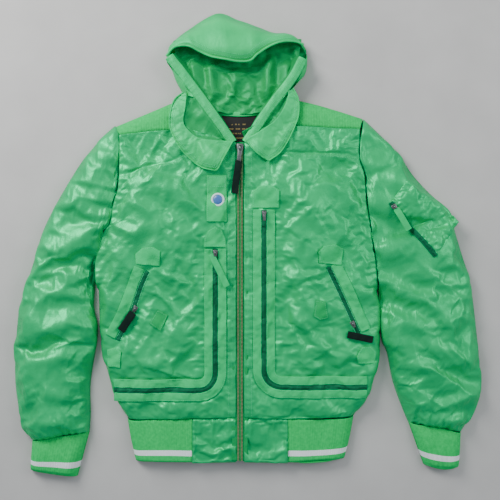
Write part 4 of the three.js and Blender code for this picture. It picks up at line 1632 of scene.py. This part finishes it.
class Trims:
    """Patches, sliders and ribbons of both fronts, and the chest tab with its snap."""

    def __init__(self, finishes: Finishes, ground: Ground) -> None:
        """Keeps the finishes and the cloth with its bands."""
        self.finishes = finishes
        self.ground = ground

    def level(self, x: float, y: float, reach: float = 6) -> float:
        """The level of what lies at a place."""
        return float(self.ground.over(np.array([[x, y]], float), reach)[0])

    def edge_stitches(self, outline: Points, inset: float, lift: float) -> Array:
        """A row of stitches just inside an outline."""
        points = np.array(outline, float)
        middle = points.mean(0)
        ring = middle + (points - middle) * (1 - inset / np.hypot(*(points - middle).T).mean())
        ring = along(np.vstack([ring, ring[:1]]), np.linspace(0, 1, 60))
        return self.ground.row(ring, lift, 3)

    def build_side(self, side: Side, trim: TrimSet, shape: FrontShape) -> None:
        """One side's patches, sliders and ribbons."""
        f, word = self.finishes, side.word
        rows = []
        sewn = {
            "band_cap": (trim.band_cap, "band_patch_", f.webbing),
            "hand_cap": (trim.hand_cap, "hand_patch_", f.webbing),
            "lower_cap": (trim.lower_cap, "lower_patch_", f.webbing), "small_cap": (trim.small, "", f.dull),
        }
        for name, (outline, node, look) in sewn.items():
            piece = patch_on(f"{name}_{word}", outline, self.ground, look)
            finish_piece(piece, "jacket", "webbing", *([node + word] if node else []))
            rows.append(self.edge_stitches(outline, 3, 1.8))
        finish_piece(Stitch().sew("cap_stitches_" + word, rows, f.thread), "jacket", "webbing")
        x, y = side.value * shape.band_x, shape.band_top - 2
        slider = build_slider("pocket_slider_body_" + word, (x, y), self.level(x, y) + 1.2, 9, 13, 0, f.steel)
        finish_piece(slider, "pocket_slider_" + word, "slider_metal", "pocket_slider_" + word)
        if side is Side.RIGHT:
            pull = webbing_pull("pocket_strap_right", (x - 8, y - 8), self.level(x, y - 30, 14) + 3, 13, 72,
                                26, f.webbing,
                                "pocket_slider_body_right")
            finish_piece(pull, "pocket_pull_right", "webbing", "pocket_pull_right")
        else:
            outline = strip_outline(x, y - 7, 5, 13, 4)
            z = self.level(x, y - 12) + 4.4
            pull = plate("pocket_tab_left", outline, z, z + 1.2, f.steel, 0.4)
            finish_piece(pull, "pocket_pull_left", "slider_metal", "pocket_pull_left")
        x, y = trim.slider_at
        slider = build_slider("hand_slider_body_" + word, (x, y), self.level(x, y) + 1.4, 9, 13,
                              trim.slider_lean, f.steel)
        finish_piece(slider, "hand_slider_" + word, "slider_metal", "hand_slider_" + word)
        width, length, lean = trim.ribbon_size
        x, y = trim.ribbon_at
        ribbon = webbing_pull("hand_ribbon_strap_" + word, (x, y), self.level(x, y, 20) + 2.4, width, length,
                              lean, f.ribbon,
                              "hand_slider_body_" + word)
        finish_piece(ribbon, "hand_ribbon_" + word, "ribbon_black", "hand_ribbon_" + word)

    def build_tab(self) -> None:
        """The webbing tab on the right chest, its stitches and its snap."""
        f = self.finishes
        path = np.column_stack([np.full(24, -46.0), np.linspace(138, 46, 24)])
        strip = tape("tab_strip", path, -20, 20, self.ground, f.webbing, 1.6, 3, 0.5, 8)
        finish_piece(strip, "chest_tab", "webbing", "chest_tab")
        felt = Ground([strip], 30)
        rows = []
        for at in (-17.5, 17.5):
            line = offset_line(path, at)
            rows.append(felt.row(line, 0.3))
        box = along(np.array([(-62, 134), (-30, 134), (-30, 116), (-62, 116), (-62, 134)], float),
                    np.linspace(0, 1, 50))
        rows.append(felt.row(box, 0.3))
        finish_piece(Stitch().sew("tab_stitches", rows, f.thread), "chest_tab", "webbing")
        z = float(felt.over(np.array([[-44.0, 90.0]]), 8)[0])
        for name, profile, look in (
            ("snap_ring", ((9.5, 0), (13.2, 0.2), (13.8, 1.4), (12.6, 2.4), (10.4, 2.5), (9.4, 1.6)), f.ring),
            ("snap_dot", ((0, 0), (9.8, 0), (9.6, 1.2), (8.2, 2.3), (5, 2.9), (0, 3.1)), f.dot),
        ):
            bm = bmesh.new()
            ring = [bm.verts.new((r * MM, 0, h * MM)) for r, h in profile]
            edges = [bm.edges.new(pair) for pair in zip(ring, ring[1:])]
            if name == "snap_ring":
                edges.append(bm.edges.new((ring[-1], ring[0])))
            bmesh.ops.spin(bm, geom=[*ring, *edges], cent=(0, 0, 0), axis=(0, 0, 1), angle=2 * math.pi,
                           steps=40)
            bmesh.ops.remove_doubles(bm, verts=bm.verts, dist=1e-5)
            bmesh.ops.recalc_face_normals(bm, faces=bm.faces)
            bmesh.ops.translate(bm, verts=bm.verts, vec=(-0.044, 0.090, z * MM))
            piece = object_from(name, bm, look)
            nodes = ["snap_cap"] if name == "snap_dot" else []
            finish_piece(piece, "chest_tab", "snap_enamel", *nodes)


# ---------------------------------------------------------------- collar and hood


@dataclass(frozen=True)
class LeafShape:
    """One collar leaf: its outer edge from the neck to the tip, and the fold where it turns over."""

    side: Side
    outer: Points
    tip_run: Points
    fold: Points
    seed: int


LEAVES = (
    LeafShape(Side.LEFT, ((106, 312), (116, 290), (117, 262), (110, 238), (96, 208), (80, 184), (58, 168)),
              ((58, 168), (42, 176), (26, 190), (12, 210)),
              ((98, 306), (88, 274), (68, 246), (42, 228), (12, 210)), 5),
    LeafShape(Side.RIGHT, ((112, 304), (130, 290), (138, 266), (140, 240), (134, 220), (120, 194),
                           (102, 174), (76, 154), (50, 147)),
              ((50, 147), (42, 152), (28, 180), (14, 206)),
              ((106, 300), (108, 274), (112, 246), (104, 230), (84, 214), (52, 208), (14, 206)), 6),
)


class Collar:
    """The two leaves of the collar."""

    def __init__(self, finishes: Finishes, ground: Ground) -> None:
        """Keeps the finishes and the fronts' cloth."""
        self.finishes = finishes
        self.ground = ground

    def build_leaf(self, shape: LeafShape) -> None:
        """One leaf, its piped edge and its stitches."""
        f, word = self.finishes, shape.side.word
        outer, tip, fold = smooth_run(shape.outer), smooth_run(shape.tip_run), smooth_run(shape.fold)
        patch = Patch(outer, fold, np.array([outer[0], fold[0]]), tip)

        def height(xy: Array, uv: Array) -> Array:
            """The level at each point, in millimetres."""
            real = xy * [shape.side.value, 1]
            base = self.ground.over(real, 8)
            lift = 3 + 7 * np.sin(math.pi * np.clip(uv[:, 1], 0, 1) ** 0.8) * (0.5 + 0.5 * uv[:, 0])
            level = base + lift + 1.2 * ripple(xy, 40, shape.seed, 30, 1.5)
            level += Pucker(outer, 1.0, 9, 12, 0.4).at(xy, shape.seed)
            return np.maximum(level, 33 + 5 * uv[:, 1])

        obj = grid_sheet("leaf_" + word, patch, 3.2, height, f.hood_nylon)
        lay(obj, patch, ["front_" + word], 1.6, side=shape.side, slack=Slack(0.05, 12, 0.5, 4), spare=0.05)
        felt = Ground([obj], 34)
        rim = flip(np.vstack([outer, tip[1:]]), shape.side)
        rows = []
        for inset in (5, 9):
            shift = -inset if shape.side is Side.LEFT else inset
            line = along(offset_line(rim, shift), np.linspace(0.02, 0.95, 90))
            rows.append(felt.row(line, 0.2, 1))
        seam = Stitch(2.2, 1.0, 0.6).sew("leaf_stitches_" + word, rows, f.thread)
        edge = felt.row(rim, -0.6, 3)
        piping = cord_along("leaf_piping_" + word, edge, 1.5, f.hood_nylon)
        for piece, nodes in ((obj, ["collar_leaf_" + word]), (seam, []), (piping, [])):
            finish_piece(piece, None, "shell_nylon", *nodes)
            self.bend(piece, shape.side)

    def bend(self, piece: Piece, side: Side) -> None:
        """Bakes a leaf's placement into its mesh."""
        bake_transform(piece)


def cord_along(name: str, line: Array, radius: float, material: Finish) -> Piece:
    """A round bead of piping along a line.

    Args:
        name: The piece's name.
        line: Its x, y, z points in millimetres.
        radius: Its radius.
        material: The finish.

    Returns:
        The piping, as a closed mesh.
    """
    points = along(line, np.linspace(0, 1, max(12, len(line) * 2)))
    bm = bmesh.new()
    rings = []
    ways = np.gradient(points, axis=0)
    for point, way in zip(points, ways):
        turn = Vector(way).to_track_quat("Z", "Y").to_matrix().to_4x4()
        matrix = Matrix.Translation(Vector(point) * MM) @ turn
        rings.append(bmesh.ops.create_circle(bm, segments=8, radius=radius * MM, matrix=matrix)["verts"])
    for a, b in zip(rings, rings[1:]):
        edges = [e for ring in (a, b) for e in {e for v in ring
                                                for e in v.link_edges if e.other_vert(v) in ring}]
        bmesh.ops.bridge_loops(bm, edges=edges)
    for ring in (rings[0], rings[-1]):
        bmesh.ops.contextual_create(bm, geom=ring)
    bmesh.ops.recalc_face_normals(bm, faces=bm.faces)
    return object_from(name, bm, material)


@dataclass(frozen=True)
class HoodShape:
    """The hood lying back: its outline, its brim and the two hems that run down to the zip."""

    crown: Points = ((-148, 372), (-147, 392), (-142, 406), (-120, 426), (-100, 440), (-76, 456), (-50, 469),
                     (-30, 468), (-8, 458), (16, 450), (40, 441), (68, 431), (92, 430), (110, 424),
                     (126, 408), (135, 390))
    brim: Points = ((-148, 372), (-130, 392), (-104, 394), (-82, 384), (-58, 374), (-32, 368), (-6, 364),
                    (20, 365),
                    (34, 377), (50, 389), (72, 399), (98, 404), (120, 400), (135, 390))
    left_cheek: Points = ((-112, 300), (-130, 332), (-137, 352), (-148, 372))
    right_cheek: Points = ((102, 312), (116, 330), (130, 344), (136, 364), (135, 390))
    left_hem: Points = ((-148, 368), (-118, 330), (-66, 260), (-22, 198))
    right_hem: Points = ((134, 366), (112, 326), (66, 266), (20, 198))
    seam_y: float = 266.0


class Hood:
    """The hood: crown, cheeks, inner back, brim and hems."""

    def __init__(self, finishes: Finishes, shape: HoodShape = HoodShape()) -> None:
        """Keeps the finishes and the shape."""
        self.finishes = finishes
        self.shape = shape

    def blend(self, piece: Piece, slot: str, *nodes: str) -> None:
        """Bakes a piece's placement into its mesh, hides its nodes and reports it."""
        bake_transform(piece)
        finish_piece(piece, None, slot, *nodes)

    def build_crown(self) -> None:
        """The hood's top, from the brim over to the floor, with its seam."""
        s, f = self.shape, self.finishes
        brim, crown = smooth_run(s.brim), smooth_run(s.crown)
        patch = Patch(brim, crown, np.array([brim[0], crown[0] + [0, 0.1]]),
                      np.array([brim[-1], crown[-1] + [0, 0.1]]))
        crease = smooth_run(((-130, 398), (-112, 400), (-76, 412), (-42, 424), (4, 427), (64, 431),
                             (100, 424)))

        def height(xy: Array, uv: Array) -> Array:
            """The level at each point, in millimetres."""
            level = 41 + 4 * np.sin(math.pi * np.clip(uv[:, 1] * 1.2, 0, 1))
            level += 1.6 * ripple(xy, 48, 31, 20, 1.6)
            level += Pucker(crease, 0.8, 15, 12, 3).at(xy, 33) + 1.8 * creases(xy, 46, 34, 20, 2)
            level += Fold(crease, 8, -5).at(xy) + Fold(crease + [0, -16], 9, 4).at(xy)
            gap, _ = near(crown, xy)
            share = np.clip(gap / 30, 0, 1)
            return 2 + (level - 2) * np.sqrt(1 - (1 - share) ** 2)

        obj = grid_sheet("hood_crown", patch, 3.4, height, f.hood_nylon)
        lay(obj, patch, ["hood_inside"], 0.8, slack=Slack(0.07, 14, 0.7, 6), spare=0.07,
            rolls=[Roll(crown, 30, 38)])
        self.blend(obj, "shell_nylon", "hood_front")
        felt = Ground([obj], 40)
        rim = along(brim, np.linspace(0.01, 0.965, 110))
        lip = felt.row(rim, -1.2, 4)
        self.blend(cord_along("brim_piping", lip, 2.3, f.hood_nylon), "shell_nylon")
        rows = []
        for inset in (6, 13):
            line = along(offset_line(brim, inset), np.linspace(0.09, 0.88, 90))
            rows.append(felt.row(line, 0.2, 1))
        self.blend(Stitch(2.4, 1.2, 0.6).sew("brim_stitches", rows, f.thread), "shell_nylon")

    def build_inside(self) -> None:
        """The hood's inner back, with its upright folds, down to the neck seam."""
        s, f = self.shape, self.finishes
        low = smooth_run(((-52, s.seam_y + 4), (-20, s.seam_y - 1), (20, s.seam_y - 1), (50, s.seam_y + 4)))
        top = smooth_run(((-134, 410), (-60, 420), (20, 412), (124, 414)))
        left = smooth_run(((-52, s.seam_y + 4), (-86, 300), (-120, 350), (-134, 410)))
        right = smooth_run(((50, s.seam_y + 4), (84, 304), (112, 350), (124, 414)))
        patch = Patch(low, top, left, right)
        folds = (
            Fold(((-58, 374), (-56, 330), (-46, 286)), 9, 10),
            Fold(((-26, 350), (-16, 310), (2, 290), (16, 300), (22, 340)), 7, 6),
            Fold(((60, 390), (54, 330), (46, 284)), 9, 11), Fold(((-96, 380), (-84, 330), (-62, 296)), 9, 8),
            Fold(((96, 380), (88, 330), (66, 296)), 9, 7), Fold(((-8, 366), (-10, 330), (-22, 280)), 8, 5),
        )

        def height(xy: Array, uv: Array) -> Array:
            """The level at each point, in millimetres."""
            side = np.abs(2 * uv[:, 0] - 1)
            level = 8 + 14 * side**2 + 1.2 * ripple(xy, 30, 41, 0, 2.4)
            for fold in folds:
                level += fold.at(xy)
            return level

        # The inside's darker green is painted shade of the hollow hood.
        obj = grid_sheet("hood_inside", patch, 3.6, height, f.inner_nylon)
        lay(obj, patch, ["hood_floor"], 0.7, slack=Slack(0.08, 14, 0.5, 7), spare=0.12)
        self.blend(obj, "shell_nylon")
        floor = Patch(smooth_run(((-112, 300), (0, 296), (102, 312))), smooth_run(s.crown),
                      smooth_run(s.left_cheek), smooth_run(s.right_cheek))

        def ground_level(xy: Array, uv: Array) -> Array:
            """The level at each point, in millimetres."""
            return 1.5 + 0.4 * ripple(xy, 50, 44)

        base = grid_sheet("hood_floor", floor, 8, ground_level, f.hood_nylon)
        lay(base, floor, ["floor"], 0.7)
        self.blend(base, "shell_nylon", "hood_back")

    def build_sides(self) -> None:
        """The cheeks, and the doubled hems that run down to the zip."""
        s, f = self.shape, self.finishes
        for side, cheek, hem in ((Side.RIGHT, s.left_cheek, s.left_hem),
                                 (Side.LEFT, s.right_cheek, s.right_hem)):
            word = side.word
            hem_line = smooth_run(hem)
            outside = smooth_run(cheek)
            upper = along(hem_line, np.linspace(0, 0.45, 16))[::-1]
            if side is Side.RIGHT:
                patch = Patch(np.array([outside[0], upper[0]]), np.array([outside[-1], upper[-1]]), outside,
                              upper)
            else:
                patch = Patch(np.array([upper[0], outside[0]]), np.array([upper[-1], outside[-1]]), upper,
                              outside)

            def height(xy: Array, uv: Array, rim: Array = outside) -> Array:
                """The level at each point, in millimetres."""
                level = 37 + 1.5 * ripple(xy, 28, 61)
                return rounded(xy, [rim], 22, 2, level)

            obj = grid_sheet("hood_cheek_" + word, patch, 3, height, f.hood_nylon)
            lay(obj, patch, ["hood_floor"], 0.8, rolls=[Roll(outside, 22, 35)])
            self.blend(obj, "shell_nylon")

            inward = 1 if side is Side.RIGHT else -1
            path = along(hem_line, np.linspace(0, 1, 60))
            edges = sorted((0, inward * 19))
            strip = ribbon_patch(path, *edges)

            def band(xy: Array, uv: Array, line: Array = path) -> Array:
                """The level at each point, in millimetres."""
                _, run = near(line, xy)
                level = 39 - 5 * run + 2.2 * np.sin(math.pi * uv[:, 1])
                return level + 0.9 * ripple(xy, 26, 63) + Pucker(line, 0.8, 9, 9, 0.3).at(xy, 64)

            hem_piece = grid_sheet("hood_hem_" + word, strip, 2.8, band, f.hood_nylon)
            lay(hem_piece, strip, ["hood_inside"], 2.6)
            self.blend(hem_piece, "shell_nylon")
            felt = Ground([hem_piece], 38)
            rows = []
            for inset in (3, 9, 15):
                line = along(offset_line(path, inward * inset), np.linspace(0.02, 0.98, 80))
                rows.append(felt.row(line, reach=1))
            self.blend(Stitch(2.4, 1.2, 0.6).sew("hem_stitches_" + word, rows, f.thread), "shell_nylon")

            wall_low = offset_line(path, inward * 18)
            depth = np.linspace(34, 19.5, len(path))[:, None]
            floor_line = path + (offset_line(path, inward) - path) * depth
            inner = between(wall_low, floor_line)

            def wall(xy: Array, uv: Array, line: Array = path) -> Array:
                """The level at each point, in millimetres."""
                _, run = near(line, xy)
                return (38 - 5 * run) * (1 - uv[:, 1]) + 7 * uv[:, 1] + 1.0 * ripple(xy, 20, 65)

            # The wall's darker green is painted shade under the hood's hem.
            lining = grid_sheet("hood_wall_" + word, inner, 3.2, wall, f.inner_nylon)
            lay(lining, inner, ["hood_inside"], 0.7, rolls=[Roll(path, 26, 28)])
            self.blend(lining, "shell_nylon")


class Neck:
    """What shows inside the neck: the lining, the seam tape and the collar's bands."""

    def __init__(self, finishes: Finishes) -> None:
        """Keeps the finishes."""
        self.finishes = finishes

    def build(self) -> None:
        """The lining, the tape over the neck seam, and a band inside each leaf."""
        f = self.finishes
        patch = Patch(smooth_run(((-215, WAIST + 4), (0, WAIST + 4), (215, WAIST + 4))),
                      smooth_run(((-120, 268), (0, 262), (120, 268))),
                      smooth_run(((-215, WAIST + 4), (-240, 0), (-120, 268))),
                      smooth_run(((215, WAIST + 4), (240, 0), (120, 268))))

        def height(xy: Array, uv: Array) -> Array:
            """The level at each point, in millimetres."""
            return 4.0 + 0.5 * ripple(xy, 60, 90)

        # The lining finish's darker green is painted shade inside the neck.
        lining = grid_sheet("inner_lining", patch, 10, height, f.lining)
        lay(lining, patch, ["back_left", "back_right"], 0.4)
        finish_piece(lining, "jacket", "lining", "back_lining")
        ground = Ground([lining], 5)
        path = smooth_run(((-44, 268), (0, 265), (38, 268)))
        strip = tape("seam_tape", path, -5, 5, ground, f.hood_nylon, 2.4, 2.4, 0.2, 3)
        finish_piece(strip, "jacket", "shell_nylon", "neck_tape")
        for leaf in LEAVES:
            fold = along(smooth_run(leaf.fold), np.linspace(0, 1, 30))
            if leaf.side is Side.RIGHT:
                hem_line = np.abs(along(smooth_run(HoodShape().left_hem), np.linspace(0.3, 1, 30)))
            else:
                hem_line = offset_line(fold, STAND_INWARD)
            band = Patch(fold, hem_line, np.array([fold[0], hem_line[0]]),
                         np.array([fold[-1], hem_line[-1] + [0, 0.2]]))

            def rise(xy: Array, uv: Array, seed: int = leaf.seed) -> Array:
                """The level at each point, in millimetres."""
                middle = np.sin(math.pi * np.clip(uv[:, 1], 0, 1))
                return 34 + 2 * uv[:, 1] - 5 * middle + 1.6 * creases(xy, 34, seed + 5, 40, 2)

            # The stand's darker green is painted shade under the leaf.
            obj = grid_sheet("stand_" + leaf.side.word, band, 3.2, rise, f.stand_nylon)
            lay(obj, band, ["front_" + leaf.side.word], 1.0, side=leaf.side, slack=Slack(0.06, 12, 0.4, 5),
                spare=0.06)
            finish_piece(obj, "jacket", "shell_nylon", "neck_band_" + leaf.side.word)


# ---------------------------------------------------------------- setting


class Setting:
    """The floor, the lights and the camera."""

    focus = (20.0, -10.0)
    view = 1000.0

    def build(self) -> None:
        """Makes them all."""
        bm = bmesh.new()
        bmesh.ops.create_grid(bm, x_segments=2, y_segments=2, size=3)
        t = Tree("pale_floor")
        flat = t.placed("Object", (1, 1, 1))
        t.link(t.ramp(t.noise(9, 4, flat), shades((0.50, 0.49, 0.47), 0.06)), t.shader.inputs["Base Color"])
        t.shade(Roughness=0.9)
        floor = object_from("floor", bm, t.material, False)
        world = bpy.data.worlds.new("sky")
        world.use_nodes = True
        world.node_tree.nodes["Background"].inputs["Color"].default_value = (0.82, 0.90, 1, 1)
        world.node_tree.nodes["Background"].inputs["Strength"].default_value = 0.5
        bpy.context.scene.world = world
        self.light("key", (-1.1, 1.2, 1.15), 46, 0.85)
        self.light("fill", (1.4, 0.5, 1.2), 13, 0.9)
        camera = bpy.data.cameras.new("camera")
        camera.lens = 50
        height = self.view * camera.lens / camera.sensor_width
        obj = bpy.data.objects.new("camera", camera)
        obj.location = (self.focus[0] * MM, self.focus[1] * MM, (height + 26) * MM)
        bpy.context.scene.collection.objects.link(obj)
        bpy.context.scene.camera = obj

    def light(self, name: str, place: Triple, energy: float, size: float) -> None:
        """Adds an area light that looks at the jacket."""
        lamp = bpy.data.lights.new(name, "AREA")
        lamp.energy = energy
        lamp.size = size
        obj = bpy.data.objects.new(name, lamp)
        obj.location = place
        obj.rotation_euler = (Vector((0, 0, 0)) - Vector(place)).to_track_quat("-Z", "Y").to_euler()
        bpy.context.scene.collection.objects.link(obj)


def main() -> None:
    """Builds every piece."""
    logging.basicConfig(level=logging.INFO, format="%(message)s")
    finishes = Finishes()
    Setting().build()
    shells = []
    for shape in (LEFT_FRONT, RIGHT_FRONT):
        front = Front(shape, finishes)
        front.build_back()
        shells.append(front.build_shell())
        front.build_stitches(shells[-1])
        front.build_knit()
        front.build_waist()
    ground = Ground(shells, 25)
    for shape in (LEFT_FRONT, RIGHT_FRONT):
        pockets = Pockets(shape, finishes, ground)
        pockets.band()
        pockets.hand()
    webs = [bpy.data.objects[f"{part}_{side.word}"] for part in ("band_inner", "band_outer", "hand_strip")
            for side in Side]
    trims = Trims(finishes, Ground([*shells, *webs], 25))
    trims.build_side(Side.LEFT, LEFT_TRIM, LEFT_FRONT)
    trims.build_side(Side.RIGHT, RIGHT_TRIM, RIGHT_FRONT)
    trims.build_tab()
    FrontZip(finishes).build()
    for shape in (LEFT_SLEEVE, RIGHT_SLEEVE):
        sleeve = Sleeve(shape, finishes)
        upper = sleeve.build()
        sleeve.build_cuff()
        if shape.side is Side.LEFT:
            SleevePocket(finishes, Ground([upper], 34)).build()
    Neck(finishes).build()
    collar = Collar(finishes, ground)
    for leaf in LEAVES:
        collar.build_leaf(leaf)
    hood = Hood(finishes)
    hood.build_inside()
    hood.build_crown()
    hood.build_sides()
    label = bpy.data.objects["neck_label"]
    for slot in label.material_slots:
        slot.material = finishes.label


if __name__ == "__main__":
    main()
